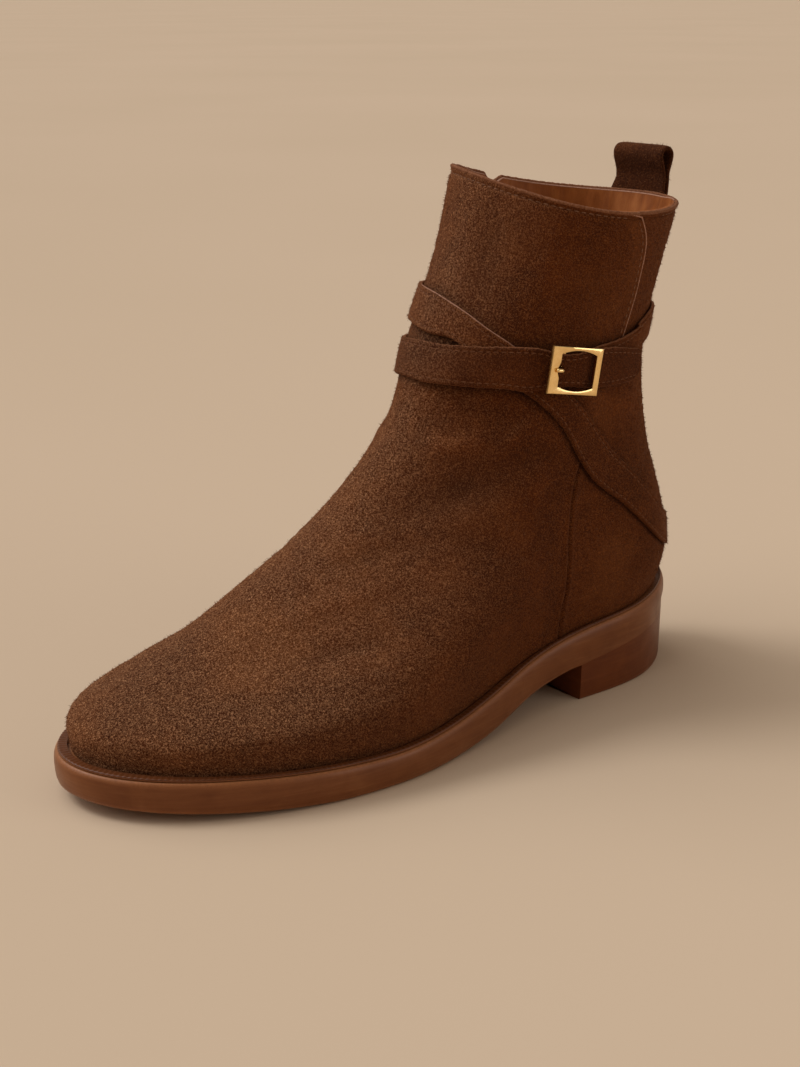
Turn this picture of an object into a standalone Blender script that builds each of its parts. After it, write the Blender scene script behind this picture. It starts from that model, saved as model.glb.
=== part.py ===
"""Left ankle boot of brown suede with wrapped straps and a gold buckle.

Metres, +Z up, toe towards +X, outer side towards +Y.
The origin is on the floor, at the middle of the heel's flat face.
"""
from collections import namedtuple

import bpy
import bmesh
import numpy as np
from mathutils import Matrix, Vector

# Driving dimensions, in millimetres; x is measured from the back edge of the sole
MM = 0.001
SOLE_LENGTH = 254.6
HEEL_CENTRE = 34.0
GAP = 0.3
WALL = 2.2
WELT_WIDTH = 4.2
HEEL_WELT_WIDTH = 2.9
TOE_WELT_WIDTH = 5.1
WELT_WIDEN_RUN = 51.0
TOE_WELT_START = 215.0
TOE_WELT_RUN = 35.0
WELT_HEIGHT = 0.9
WELT_SET_IN = 0.7
WELT_ROOT_GAP = 0.9
WELT_ROOT_LEVEL = 0.25
INSOLE_THICK = 2.6
INSOLE_SET_IN = 3.1
BREAST_X = 68.0
BREAST_HOLLOW = 3.0
HEEL_TAPER = 0.3
STRAP_THICK = 1.4
FLAP_STEP = 1.2
COLLAR_SAG = 3.4
COLLAR_TILT = 3.4
COLLAR_TWIST = 1.5
COLLAR_BLEND_LEVELS = 2.0
SEAM_STEP = 0.45
SEAM_RUN_DEG = 0.9
STEP_FADE_DEG = 55.0
STRAP_CLEAR_DEG = (-8.0, -4.0, 0.0, 4.0, 8.0, 12.0)
NOTCH_ANGLE = 266.0
NOTCH_HALF_DEG = 6.2
NOTCH_DEPTH_LEVELS = 0.11
LOOP_ANGLE = -7.2
LOOP_WIDTH = 23.6
LOOP_THICK = 1.7
LOOP_RISE = 16.3
LOOP_LEG = 14.3
LOOP_PINCH = 6.2
LOOP_RADIUS = 1.8
LOOP_STAND_OFF = 0.6
LOOP_TOP_BOW = 0.3
BUCKLE_ANGLE = 102.0
BUCKLE_LEVEL = 6.78
BUCKLE_HALF_SPAN_DEG = 12.0
BUCKLE_CLIMB_LEVELS = 0.05
BUCKLE_LIFT = 6.2
BUCKLE_LONG = 21.5
BUCKLE_TALL = 16.4
BUCKLE_THICK = 1.4
BAR_THICK_END = 4.0
BAR_SLIM_END = 2.5
WINDOW_SIDE_BAR = 1.3
WINDOW_CORNER_BAR = 2.7
WINDOW_NOTCH = 1.2
WINDOW_NOTCH_HALF = 2.6
BAR_LIFT = 3.1
BAR_SHIFT = 3.0
BAR_RADIUS = 0.5
POST_WIDTH = 1.1
PRONG_RADIUS = 0.75
PRONG_SEAT_DEPTH = 0.5
PRONG_SEAT_WIDTH = 2.3
PRONG_SEAT_INSET = 3.0
PRONG_LEAN = 0.2
PRONG_BEND = 0.7
PRONG_BEND_RISE = 0.2
PRONG_RUN = 1.9
PRONG_HOLE_RADIUS = 1.3

# Mesh density
AROUND = 52
RISE_STEPS = 21
SOLE_STATIONS = 32
WELT_STATIONS = 38
HEEL_STATIONS = 15
BREAST_STATIONS = 7
WRAPPED_STATIONS = 60
HOLED_STATIONS = 48
STRAP_ACROSS = 3
LOOP_LEG_STATIONS = 7
LOOP_FLARE_STATIONS = 6
LOOP_BEND_STATIONS = 11
LOOP_ACROSS = 7
BUCKLE_SIDE_POINTS = 8
PRONG_BEVEL_STEPS = 2
HOLE_SIDES = 16
SHARP_DEG = 40.0

# Height of the sole along its length: stations in mm from the back edge
SoleStation = namedtuple("SoleStation", "x top bottom")
SOLE_PROFILE = [
    SoleStation(0.0, 33.3, 21.5),
    SoleStation(35.6, 29.5, 17.5),
    SoleStation(68.7, 26.2, 13.4),
    SoleStation(91.7, 21.8, 9.2),
    SoleStation(114.6, 16.0, 2.9),
    SoleStation(137.0, 12.3, 0.4),
    SoleStation(157.9, 10.8, 0.0),
    SoleStation(182.0, 11.2, 0.0),
    SoleStation(203.7, 12.2, 1.0),
    SoleStation(254.6, 14.8, 4.8),
]

# Rings of the upper from the sole to the collar. back and front lie in the middle plane;
# follow is how far the ring keeps the sole's curve; rear to toe are half widths at fifths of the ring
Section = namedtuple("Section", "name back_x back_z front_x front_z follow rear waist ball toe swing")
SECTIONS = [
    Section("feather", 2.8, 33.3, 250.6, 15.0, 1.00, 27.2, 29.5, 42.5, 31.0, 1.0),
    Section("wall", 0.2, 45.0, 250.0, 26.0, 0.90, 29.5, 31.2, 45.0, 32.5, 1.0),
    Section("toe_box", 1.0, 51.5, 231.5, 36.0, 0.80, 29.3, 31.8, 42.5, 26.5, 1.0),
    Section("toe_top", 2.8, 60.0, 209.0, 45.0, 0.65, 28.7, 32.0, 39.0, 21.5, 0.9),
    Section("vamp", 8.5, 74.0, 177.0, 62.0, 0.40, 27.2, 31.5, 32.0, 18.5, 0.7),
    Section("instep", 14.0, 90.0, 149.0, 80.0, 0.20, 24.2, 31.0, 29.5, 17.0, 0.5),
    Section("throat", 17.2, 108.0, 124.5, 105.0, 0.05, 21.2, 30.0, 29.0, 17.0, 0.2),
    Section("ankle", 16.1, 126.0, 114.0, 132.0, 0.00, 19.2, 29.5, 30.0, 19.0, 0.0),
    Section("shaft", 13.0, 148.0, 99.5, 161.0, 0.00, 20.5, 32.0, 33.0, 21.0, 0.0),
    Section("collar", 5.6, 176.2, 90.2, 188.0, 0.00, 22.0, 35.0, 36.0, 23.0, 0.0),
]
TOP_LEVEL = len(SECTIONS) - 1
FIFTHS = 5
# Sideways shift of the last's middle line at fifths of a ring, positive to the outer side
SWING = [0.0, 0.0, 3.0, 2.5, -2.7, -4.7]

# Front edge of the rear quarter on the outer side: angle round the ring at each level
SeamPoint = namedtuple("SeamPoint", "level angle step")
SEAM = [
    SeamPoint(0, 66.5, SEAM_STEP),
    SeamPoint(1, 67.5, SEAM_STEP),
    SeamPoint(3, 73.0, SEAM_STEP),
    SeamPoint(4, 77.5, SEAM_STEP),
    SeamPoint(5, 80.8, SEAM_STEP),
    SeamPoint(6, 78.0, FLAP_STEP),
    SeamPoint(7, 71.2, FLAP_STEP),
    SeamPoint(8, 73.5, FLAP_STEP),
    SeamPoint(8.6, 80.5, FLAP_STEP),
    SeamPoint(9, 92.0, FLAP_STEP),
]

# Straps: angle round the boot (0 back, 90 outer side, 180 front), lower and upper edge, stand-off in mm
StrapRow = namedtuple("StrapRow", "angle low high lift")
STRAP_OVER_FRONT = [
    StrapRow(1.5, 0.75, 2.5, 0.5),
    StrapRow(26.0, 1.35, 3.0, 0.5),
    StrapRow(36.0, 2.15, 3.43, 0.5),
    StrapRow(46.5, 3.16, 4.12, 0.5),
    StrapRow(56.0, 3.84, 4.72, 0.5),
    StrapRow(72.0, 4.68, 5.44, 0.5),
    StrapRow(83.0, 5.26, 5.88, 0.5),
    StrapRow(96.0, 5.84, 6.34, 0.5),
    StrapRow(110.0, 6.28, 6.74, 0.5),
    StrapRow(129.0, 6.66, 7.08, 0.5),
    StrapRow(144.0, 6.86, 7.26, 0.5),
    StrapRow(157.0, 7.08, 7.4, 0.5),
    StrapRow(178.0, 7.14, 7.54, 0.5),
    StrapRow(202.0, 7.2, 7.6, 0.7),
    StrapRow(250.0, 7.2, 7.62, 0.5),
    StrapRow(300.0, 7.2, 7.65, 0.5),
    StrapRow(360.0, 7.15, 7.62, 0.5),
    StrapRow(401.0, 7.05, 7.55, 0.5),
    StrapRow(411.0, 6.96, 7.45, 0.5),
    StrapRow(422.0, 6.8, 7.28, 0.5),
    StrapRow(434.0, 6.68, 7.15, 0.5),
    StrapRow(446.0, 6.62, 7.08, 0.5),
    StrapRow(455.5, 6.62, 7.0, 0.5),
]
STRAP_TO_BUCKLE = [
    StrapRow(55.5, 6.54, 6.76, 2.25),
    StrapRow(58.0, 6.46, 6.9, 2.25),
    StrapRow(61.0, 6.43, 6.96, 2.35),
    StrapRow(66.0, 6.42, 6.99, 2.4),
    StrapRow(85.0, 6.44, 7.06, 2.45),
    StrapRow(92.0, 6.47, 7.05, 2.75),
    StrapRow(98.0, 6.51, 7.02, 3.5),
    StrapRow(104.0, 6.54, 7.0, 3.6),
    StrapRow(110.0, 6.53, 7.02, 3.5),
    StrapRow(117.0, 6.5, 7.07, 2.6),
    StrapRow(129.0, 6.55, 7.08, 2.25),
    StrapRow(144.0, 6.57, 7.06, 2.25),
    StrapRow(154.0, 6.58, 7.045, 2.2),
    StrapRow(168.0, 6.58, 7.04, 0.8),
    StrapRow(184.0, 6.6, 7.04, 0.5),
    StrapRow(207.0, 6.56, 7.0, 0.7),
    StrapRow(231.0, 6.5, 6.95, 0.5),
    StrapRow(250.0, 6.28, 6.74, 0.5),
    StrapRow(264.0, 5.84, 6.34, 0.5),
    StrapRow(277.0, 5.26, 5.88, 0.5),
    StrapRow(288.0, 4.68, 5.44, 0.5),
    StrapRow(304.0, 3.84, 4.72, 0.5),
    StrapRow(313.5, 3.16, 4.12, 0.5),
    StrapRow(324.0, 2.15, 3.43, 0.5),
    StrapRow(334.0, 1.35, 3.0, 0.5),
    StrapRow(358.5, 0.75, 2.5, 0.5),
]

# Edge of the sole from its bottom to its top: share of the height, and how far it stands out in mm
SoleRing = namedtuple("SoleRing", "share offset")
SOLE_RINGS = [
    SoleRing(0.0, -0.2),
    SoleRing(0.25, 0.4),
    SoleRing(0.6, 0.6),
    SoleRing(1.0, 0.0),
]

# Name, colour, roughness and metallic value of each material
MATERIALS = {
    "suede": ((0.088, 0.024, 0.006), 0.95, 0.0),
    "sole_leather": ((0.115, 0.038, 0.015), 0.45, 0.0),
    "welt_leather": ((0.06, 0.02, 0.008), 0.6, 0.0),
    "lining_leather": ((0.18, 0.058, 0.02), 0.6, 0.0),
    "brass": ((0.88, 0.64, 0.32), 0.2, 1.0),
}


def clear_scene():
    for item in list(bpy.data.objects):
        bpy.data.objects.remove(item, do_unlink=True)


def make_collection(name):
    collection = bpy.data.collections.new(name)
    bpy.context.scene.collection.children.link(collection)
    return collection


def make_material(name):
    colour, roughness, metallic = MATERIALS[name]
    material = bpy.data.materials.new(name)
    material.use_nodes = True
    shader = material.node_tree.nodes["Principled BSDF"]
    shader.inputs["Base Color"].default_value = (*colour, 1.0)
    shader.inputs["Roughness"].default_value = roughness
    shader.inputs["Metallic"].default_value = metallic
    return material


def mesh_object(name, points, faces, material, collection):
    """An object from points in millimetres, its faces turned outwards."""
    mesh = bpy.data.meshes.new(name)
    metres = (np.asarray(points) - [HEEL_CENTRE, 0.0, 0.0]) * MM
    mesh.from_pydata(metres.tolist(), [], faces)
    work = bmesh.new()
    work.from_mesh(mesh)
    bmesh.ops.recalc_face_normals(work, faces=work.faces)
    work.to_mesh(mesh)
    work.free()
    mesh.shade_smooth()
    mesh.set_sharp_from_angle(angle=np.radians(SHARP_DEG))
    mesh.materials.append(material)
    item = bpy.data.objects.new(name, mesh)
    collection.objects.link(item)
    return item


def smooth_step(share):
    """Soft rise from 0 to 1."""
    share = np.clip(share, 0.0, 1.0)
    return share * share * (3.0 - 2.0 * share)


def smooth_table(x, stations, values):
    """Smooth curve through a table with uneven stations."""
    stations = np.asarray(stations, float)
    values = np.asarray(values, float)
    slope = np.gradient(values, stations)
    x = np.clip(x, stations[0], stations[-1])
    i = np.clip(np.searchsorted(stations, x) - 1, 0, len(stations) - 2)
    span = stations[i + 1] - stations[i]
    f = (x - stations[i]) / span
    blend = f * f * (3.0 - 2.0 * f)
    rise = f * (1.0 - f) ** 2 * span * slope[i]
    fall = f * f * (1.0 - f) * span * slope[i + 1]
    return values[i] * (1.0 - blend) + values[i + 1] * blend + rise - fall


def column(rows, field):
    return [getattr(row, field) for row in rows]


def sole_top(x):
    return smooth_table(x, column(SOLE_PROFILE, "x"), column(SOLE_PROFILE, "top"))


def sole_bottom(x):
    height = smooth_table(x, column(SOLE_PROFILE, "x"), column(SOLE_PROFILE, "bottom"))
    return np.maximum(height, 0.0)


def section_value(field, level):
    return smooth_table(level, np.arange(len(SECTIONS)), column(SECTIONS, field))


def half_width(share, level):
    """Half width at a share of the way from back to front along the ring's angle."""
    end = np.sin(np.pi / FIFTHS)
    middle = np.sin(2.0 * np.pi / FIFTHS)
    rear = section_value("rear", level) / end
    waist = section_value("waist", level) / middle
    ball = section_value("ball", level) / middle
    toe = section_value("toe", level) / end
    knots = np.stack([rear, rear, waist, ball, toe, toe], -1)
    slopes = np.gradient(knots, axis=-1)
    place = np.clip(share, 0.0, 1.0) * FIFTHS
    i = np.minimum(place.astype(int), FIFTHS - 1)
    f = place - i

    def pick(table, k):
        return np.take_along_axis(table, k[..., None], -1)[..., 0]

    blend = f * f * (3.0 - 2.0 * f)
    rise = f * (1.0 - f) ** 2 * pick(slopes, i)
    fall = f * f * (1.0 - f) * pick(slopes, i + 1)
    return pick(knots, i) * (1.0 - blend) + pick(knots, i + 1) * blend + rise - fall


def collar_share(level):
    """How far a ring takes the collar's wave: none at the ankle, all at the top edge."""
    return np.clip((level - TOP_LEVEL + COLLAR_BLEND_LEVELS) / COLLAR_BLEND_LEVELS, 0.0, 1.0) ** 2


def collar_drop(turn):
    """Drop of the top edge: a sag at both sides, a tilt to the outer side and a twist towards the front."""
    sag = COLLAR_SAG * np.sin(turn) ** 2
    tilt = COLLAR_TILT * np.sin(turn)
    return sag + tilt - COLLAR_TWIST * np.sin(2.0 * turn)


def surface(angle, level, lift=0.0):
    """Point of the upper's outer face: angle in degrees round a ring, level from sole to collar."""
    angle, level, lift = np.broadcast_arrays(np.asarray(angle, float), np.asarray(level, float), lift)
    if np.any(lift):
        return surface(angle, level) + normal(angle, level) * np.asarray(lift)[..., None]
    turn = np.radians(angle)
    share = np.arccos(np.clip(np.cos(turn), -1.0, 1.0)) / np.pi
    along = (1.0 - np.cos(turn)) / 2.0
    back_x = section_value("back_x", level)
    front_x = section_value("front_x", level)
    back_z = section_value("back_z", level)
    front_z = section_value("front_z", level)
    x = back_x + (front_x - back_x) * along
    chord = sole_top(back_x) + (sole_top(front_x) - sole_top(back_x)) * along
    z = back_z + (front_z - back_z) * along + section_value("follow", level) * (sole_top(x) - chord)
    z = z - collar_share(level) * collar_drop(turn)
    shift = smooth_table(share * FIFTHS, np.arange(FIFTHS + 1), SWING) * section_value("swing", level)
    y = half_width(share, level) * np.sin(turn) + shift
    return np.stack([x, y, z], -1)


def normal(angle, level):
    """Outward unit normal of the upper's outer face."""
    step = 0.02
    across = surface(angle + 1.0, level) - surface(angle - 1.0, level)
    low = np.clip(level - step, 0.0, TOP_LEVEL)
    high = np.clip(level + step, 0.0, TOP_LEVEL)
    up = surface(angle, high) - surface(angle, low)
    out = np.cross(up, across)
    return out / np.linalg.norm(out, axis=-1, keepdims=True)


def grid_faces(rows, columns, closed):
    """Quads of a grid of rows by columns, the columns running round when closed."""
    faces = []
    last = columns if closed else columns - 1
    for i in range(rows - 1):
        for j in range(last):
            k = (j + 1) % columns
            faces.append((i * columns + j, i * columns + k, (i + 1) * columns + k, (i + 1) * columns + j))
    return faces


def seam_angle(level):
    return smooth_table(level, column(SEAM, "level"), column(SEAM, "angle"))


def seam_step(level):
    return smooth_table(level, column(SEAM, "level"), column(SEAM, "step"))


def upper_columns(level):
    """Angles of the upper's grid at one level: one column on each side of the seam's step."""
    seam = float(seam_angle(level))
    foot = seam - SEAM_RUN_DEG
    front = np.linspace(seam, NOTCH_ANGLE - NOTCH_HALF_DEG, AROUND // 2 - 1)
    notch = [NOTCH_ANGLE, NOTCH_ANGLE + NOTCH_HALF_DEG]
    count = AROUND - len(front) - len(notch)
    rear = np.linspace(NOTCH_ANGLE + NOTCH_HALF_DEG, 360.0 + foot, count + 1)[1:]
    return np.concatenate([front, notch, rear])


def wall_raise(angle, level):
    """Height of the front panel over the rear quarter, fading away from the seam."""
    past = np.mod(angle - seam_angle(level) + 0.01, 360.0)
    return seam_step(level) * smooth_step(1.0 - past / STEP_FADE_DEG)


def strap_raise(angle, level):
    """Height that a strap needs to clear the front panel's edge, from a little way before it."""
    return np.max([wall_raise(angle + ahead, level) for ahead in STRAP_CLEAR_DEG], axis=0)


def collar_level(angle):
    """Top edge of the upper, with the small notch at the inner front."""
    away = np.abs(np.mod(angle - NOTCH_ANGLE + 180.0, 360.0) - 180.0)
    return TOP_LEVEL - NOTCH_DEPTH_LEVELS * np.clip(1.0 - away / NOTCH_HALF_DEG, 0.0, 1.0)


def build_upper(material, collection):
    outer = []
    inner = []
    for i in range(RISE_STEPS + 1):
        base = TOP_LEVEL * i / RISE_STEPS
        angles = upper_columns(base)
        levels = base * collar_level(angles) / TOP_LEVEL
        outer.append(surface(angles, levels, wall_raise(angles, levels) + 1e-6))
        inner.append(surface(angles, levels, np.full(len(angles), -WALL)))
    rows = RISE_STEPS + 1
    for i in (0, rows - 1):
        inner[i][:, 2] = outer[i][:, 2]
    lift = GAP - outer[0][:, 2] + sole_top(outer[0][:, 0])
    outer[0][:, 2] += lift
    inner[0][:, 2] = sole_top(inner[0][:, 0]) + GAP
    skin = grid_faces(rows, AROUND, True)
    count = rows * AROUND
    lining = [tuple(k + count for k in face[::-1]) for face in skin]
    edges = []
    for row in (0, rows - 1):
        for j in range(AROUND):
            a = row * AROUND + j
            b = row * AROUND + (j + 1) % AROUND
            edges.append((a, b, b + count, a + count))
    points = np.concatenate([np.concatenate(outer), np.concatenate(inner)])
    return mesh_object("upper", points, skin + lining + edges, material, collection)


def edge_width(x):
    """Width of the welt's ledge: narrow round the heel, wider along the forefoot, widest at the toe."""
    forefoot = (WELT_WIDTH - HEEL_WELT_WIDTH) * smooth_step((x - BREAST_X) / WELT_WIDEN_RUN)
    toe = (TOE_WELT_WIDTH - WELT_WIDTH) * smooth_step((x - TOE_WELT_START) / TOE_WELT_RUN)
    return HEEL_WELT_WIDTH + forefoot + toe


def feather_outline(offset, count, ledge=0.0):
    """Half outlines of the last's bottom, moved out by offset and a share of the ledge, back to front."""
    angle = np.linspace(0.0, 180.0, count)
    sides = []
    for sign in (1.0, -1.0):
        edge = surface(sign * angle, np.zeros(count))
        before = surface(sign * angle - 0.5, np.zeros(count))
        after = surface(sign * angle + 0.5, np.zeros(count))
        run = (after - before)[:, :2]
        out = np.stack([-run[:, 1], run[:, 0]], -1)
        out /= np.linalg.norm(out, axis=1)[:, None]
        flat = edge[:, :2] + out * (offset + ledge * edge_width(edge[:, 0]))[:, None]
        sides.append(flat)
    return sides


def ladder_solid(name, rings, material, collection):
    """A closed solid from stacked outlines. Each ring is (outer side, inner side), back to front."""
    count = len(rings[0][0])
    loops = [np.concatenate([outer, inner[-2:0:-1]]) for outer, inner in rings]
    size = len(loops[0])
    faces = grid_faces(len(rings), size, True)
    for base in (0, (len(rings) - 1) * size):
        for i in range(count - 1):
            a = base + i
            b = base + i + 1
            c = base + size - i - 1
            d = base + (size - i) % size
            corners = []
            for k in (a, b, c, d):
                if k not in corners:
                    corners.append(k)
            faces.append(tuple(corners))
    return mesh_object(name, np.concatenate(loops), faces, material, collection)


def raised(sides, height):
    """Outlines given their height from a function of x."""
    return [np.column_stack([side, height(side[:, 0])]) for side in sides]


def build_sole(material, collection):
    rings = []
    for ring in SOLE_RINGS:
        sides = feather_outline(ring.offset, SOLE_STATIONS, 1.0)
        rings.append(raised(sides, lambda x: (1.0 - ring.share) * sole_bottom(x) + ring.share * sole_top(x)))
    return ladder_solid("outsole", rings, material, collection)


def build_heel(material, collection):
    """Heel block under the seat, its breast slightly hollow."""
    def outline(offset):
        outer, inner = feather_outline(offset, 4 * SOLE_STATIONS, 1.0)
        keep = outer[:, 0] < BREAST_X
        return outer[keep], inner[keep]

    def block(offset, height):
        outer, inner = outline(offset)
        pick = np.unique(np.linspace(0, len(outer) - 1, HEEL_STATIONS).astype(int))
        outer = outer[pick].copy()
        inner = inner[pick].copy()
        outer[-1, 0] = BREAST_X
        inner[-1, 0] = BREAST_X
        across = np.linspace(outer[-1, 1], inner[-1, 1], BREAST_STATIONS)[1:-1]
        bow = 1.0 - np.linspace(-1.0, 1.0, BREAST_STATIONS)[1:-1] ** 2
        breast = np.column_stack([BREAST_X - BREAST_HOLLOW * bow, across])
        loop = np.concatenate([outer, breast, inner[:0:-1]])
        return np.column_stack([loop, height(loop[:, 0])])

    top = block(0.0, lambda x: sole_bottom(x) - GAP)
    low = block(-HEEL_TAPER, lambda x: 0.0 * x)
    size = len(top)
    faces = grid_faces(2, size, True)
    faces.append(tuple(range(size)))
    half = size // 2
    for i in range(half):
        a = size + i
        b = size + i + 1
        c = size + size - i - 1
        d = size + (size - i) % size
        corners = []
        for k in (a, b, c, d):
            if k not in corners:
                corners.append(k)
        if len(corners) > 2:
            faces.append(tuple(corners))
    return mesh_object("heel_block", np.concatenate([low, top]), faces, material, collection)


def build_welt(material, collection):
    """Ring of leather round the upper on the sole's top edge."""
    half = np.linspace(0.0, 180.0, WELT_STATIONS)
    angle = np.concatenate([half, 180.0 + half[1:-1]])
    near = surface(angle, np.full(len(angle), WELT_ROOT_LEVEL))
    base = surface(angle, np.zeros(len(angle)))
    centre = np.array([SOLE_LENGTH / 2.0, 0.0])
    outer_side, inner_side = feather_outline(-WELT_SET_IN, WELT_STATIONS, 1.0)
    rim = np.concatenate([outer_side, inner_side[-2:0:-1]])
    away = near[:, :2] - rim
    away /= np.linalg.norm(away, axis=1)[:, None]
    wider = np.linalg.norm(near[:, :2] - centre, axis=1) > np.linalg.norm(base[:, :2] - centre, axis=1)
    root = np.where(wider[:, None], near[:, :2], base[:, :2]) - away * WELT_ROOT_GAP
    low = GAP
    high = GAP + WELT_HEIGHT
    loops = []
    for flat, lift in ((rim, low), (rim, high), (root, high), (root, low)):
        loops.append(np.column_stack([flat, sole_top(flat[:, 0]) + lift]))
    size = len(rim)
    faces = grid_faces(4, size, True)
    for j in range(size):
        k = (j + 1) % size
        faces.append((3 * size + j, 3 * size + k, k, j))
    return mesh_object("welt", np.concatenate(loops), faces, material, collection)


def build_insole(material, collection):
    sides = feather_outline(-INSOLE_SET_IN, SOLE_STATIONS)
    rings = [
        raised(sides, lambda x: sole_top(x) + GAP),
        raised(sides, lambda x: sole_top(x) + GAP + INSOLE_THICK),
    ]
    return ladder_solid("insole", rings, material, collection)


def build_strap(name, rows, stations, material, collection):
    """A strap that lies on the upper between two edges, at its stand-off."""
    angles = np.linspace(rows[0].angle, rows[-1].angle, stations)
    angles = np.unique(np.concatenate([angles, column(rows, "angle")]))
    low = smooth_table(angles, column(rows, "angle"), column(rows, "low"))
    high = smooth_table(angles, column(rows, "angle"), column(rows, "high"))
    lift = smooth_table(angles, column(rows, "angle"), column(rows, "lift"))
    share = np.linspace(0.0, 1.0, STRAP_ACROSS + 1)
    level = low[:, None] + (high - low)[:, None] * share[None]
    place = angles[:, None] + 0.0 * level
    under = lift[:, None] + strap_raise(place, level)
    layers = [surface(place, level, under), surface(place, level, under + STRAP_THICK)]
    loop = np.concatenate([layers[0], layers[1][:, ::-1]], axis=1)
    size = loop.shape[1]
    faces = grid_faces(len(angles), size, True)
    for base in (0, (len(angles) - 1) * size):
        for j in range(STRAP_ACROSS):
            faces.append((base + j, base + j + 1, base + size - 2 - j, base + size - 1 - j))
    return mesh_object(name, loop.reshape(-1, 3), faces, material, collection)


def back_wall(y, rise):
    """Place of the collar's outer face at the back, at a sideways place and a height from the rim."""
    turn = np.linspace(-70.0, 70.0, 141)
    rim = surface(0.0, float(TOP_LEVEL))
    per_level = rim[2] - surface(0.0, TOP_LEVEL - 1.0)[2]
    ring = surface(turn, np.full(len(turn), TOP_LEVEL + rise / per_level))
    return np.interp(y, ring[:, 1], ring[:, 0])


def loop_path():
    """Middle line of the folded strip: height over the rim and distance out from the collar."""
    half = (LOOP_THICK + GAP) / 2.0
    middle = LOOP_STAND_OFF + LOOP_THICK + GAP / 2.0
    wide = half + LOOP_RADIUS
    turn_rise = LOOP_RISE - wide
    leg = [(rise, half) for rise in np.linspace(-LOOP_LEG, LOOP_PINCH, LOOP_LEG_STATIONS)]
    for share in np.linspace(0.0, 1.0, LOOP_FLARE_STATIONS)[1:-1]:
        rise = LOOP_PINCH + (turn_rise - LOOP_PINCH) * share
        leg.append((rise, half + LOOP_RADIUS * smooth_step(share)))
    bend = np.linspace(0.0, np.pi, LOOP_BEND_STATIONS)
    fold = [(turn_rise + wide * np.sin(a), middle - wide * np.cos(a)) for a in bend]
    front = [(rise, middle - off) for rise, off in leg]
    rear = [(rise, middle + off) for rise, off in leg[::-1]]
    return np.array(front + fold + rear)


def build_pull_loop(material, collection):
    """Folded strip at the back: both legs lie on the collar's outside and the fold stands above it."""
    rim = surface(LOOP_ANGLE, float(TOP_LEVEL))
    path = loop_path()
    run = np.gradient(path, axis=0)
    side = np.stack([-run[:, 1], run[:, 0]], -1)
    side /= np.linalg.norm(side, axis=1)[:, None]
    across = np.linspace(-LOOP_WIDTH / 2.0, LOOP_WIDTH / 2.0, LOOP_ACROSS)
    faces_of_strip = []
    for sign in (-1.0, 1.0):
        edge = path + side * sign * LOOP_THICK / 2.0
        grid = []
        for rise, off in edge:
            wall = back_wall(rim[1] + across, min(rise, 0.0))
            bow = np.clip(1.0 - rise / LOOP_PINCH, LOOP_TOP_BOW, 1.0)
            level = back_wall(rim[1], min(rise, 0.0))
            x = level + (wall - level) * bow - off
            grid.append(np.column_stack([x, rim[1] + across, np.full(len(across), rim[2] + rise)]))
        faces_of_strip.append(np.array(grid))
    loop = np.concatenate([faces_of_strip[0], faces_of_strip[1][:, ::-1]], axis=1)
    size = loop.shape[1]
    faces = grid_faces(len(path), size, True)
    for base in (0, (len(path) - 1) * size):
        for j in range(len(across) - 1):
            faces.append((base + j, base + j + 1, base + size - 2 - j, base + size - 1 - j))
    return mesh_object("pull_loop", loop.reshape(-1, 3), faces, material, collection)


def buckle_matrix():
    """Frame of the buckle: its long way runs forward along the strap, its face looks outwards."""
    angle = np.array(BUCKLE_ANGLE)
    level = np.array(BUCKLE_LEVEL)
    centre = (surface(angle, level, BUCKLE_LIFT) - [HEEL_CENTRE, 0.0, 0.0]) * MM
    face = Vector(normal(angle, level))
    ahead = surface(angle + BUCKLE_HALF_SPAN_DEG, level + BUCKLE_CLIMB_LEVELS)
    behind = surface(angle - BUCKLE_HALF_SPAN_DEG, level - BUCKLE_CLIMB_LEVELS)
    up = face.cross(Vector(ahead - behind)).normalized()
    along = up.cross(face)
    turned = Matrix((along, up, face)).transposed().to_4x4()
    return Matrix.Translation(Vector(centre)) @ turned


def primitive_box(name, size, place, collection):
    bpy.ops.mesh.primitive_cube_add(size=1.0)
    item = bpy.context.active_object
    item.name = name
    item.data.transform(Matrix.Translation(Vector(place) * MM) @ Matrix.Diagonal((*(Vector(size) * MM), 1.0)))
    for owner in list(item.users_collection):
        owner.objects.unlink(item)
    collection.objects.link(item)
    return item


def boolean(item, tool, operation):
    change = item.modifiers.new(tool.name, "BOOLEAN")
    change.operation = operation
    change.object = tool
    change.solver = "EXACT"
    tool.hide_render = True
    tool.display_type = "WIRE"


def buckle_outlines(count):
    """Outer rectangle and barrel-shaped window of the buckle, point beside point."""
    half_long = BUCKLE_LONG / 2.0
    half_tall = BUCKLE_TALL / 2.0
    window_half = (BUCKLE_LONG - BAR_THICK_END - BAR_SLIM_END) / 2.0
    window_middle = (BAR_SLIM_END - BAR_THICK_END) / 2.0
    corner = half_tall - WINDOW_CORNER_BAR
    share = np.linspace(-1.0, 1.0, count, endpoint=False)
    bow = corner + (WINDOW_CORNER_BAR - WINDOW_SIDE_BAR) * (1.0 - share ** 2)
    outer = []
    inner = []
    for sign in (1.0, -1.0):
        notch = (sign + 1.0) / 2.0 * WINDOW_NOTCH * np.clip(1.0 - np.abs(share) * corner / WINDOW_NOTCH_HALF,
                                                            0.0, 1.0)
        outer.append(np.column_stack([sign * share * half_long, np.full(count, sign * half_tall)]))
        inner.append(np.column_stack([window_middle + sign * share * window_half, sign * bow]))
        outer.append(np.column_stack([np.full(count, sign * half_long), -sign * share * half_tall]))
        inner.append(np.column_stack([window_middle + sign * (window_half + notch), -sign * share * corner]))
    return np.concatenate(outer), np.concatenate(inner)


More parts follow.
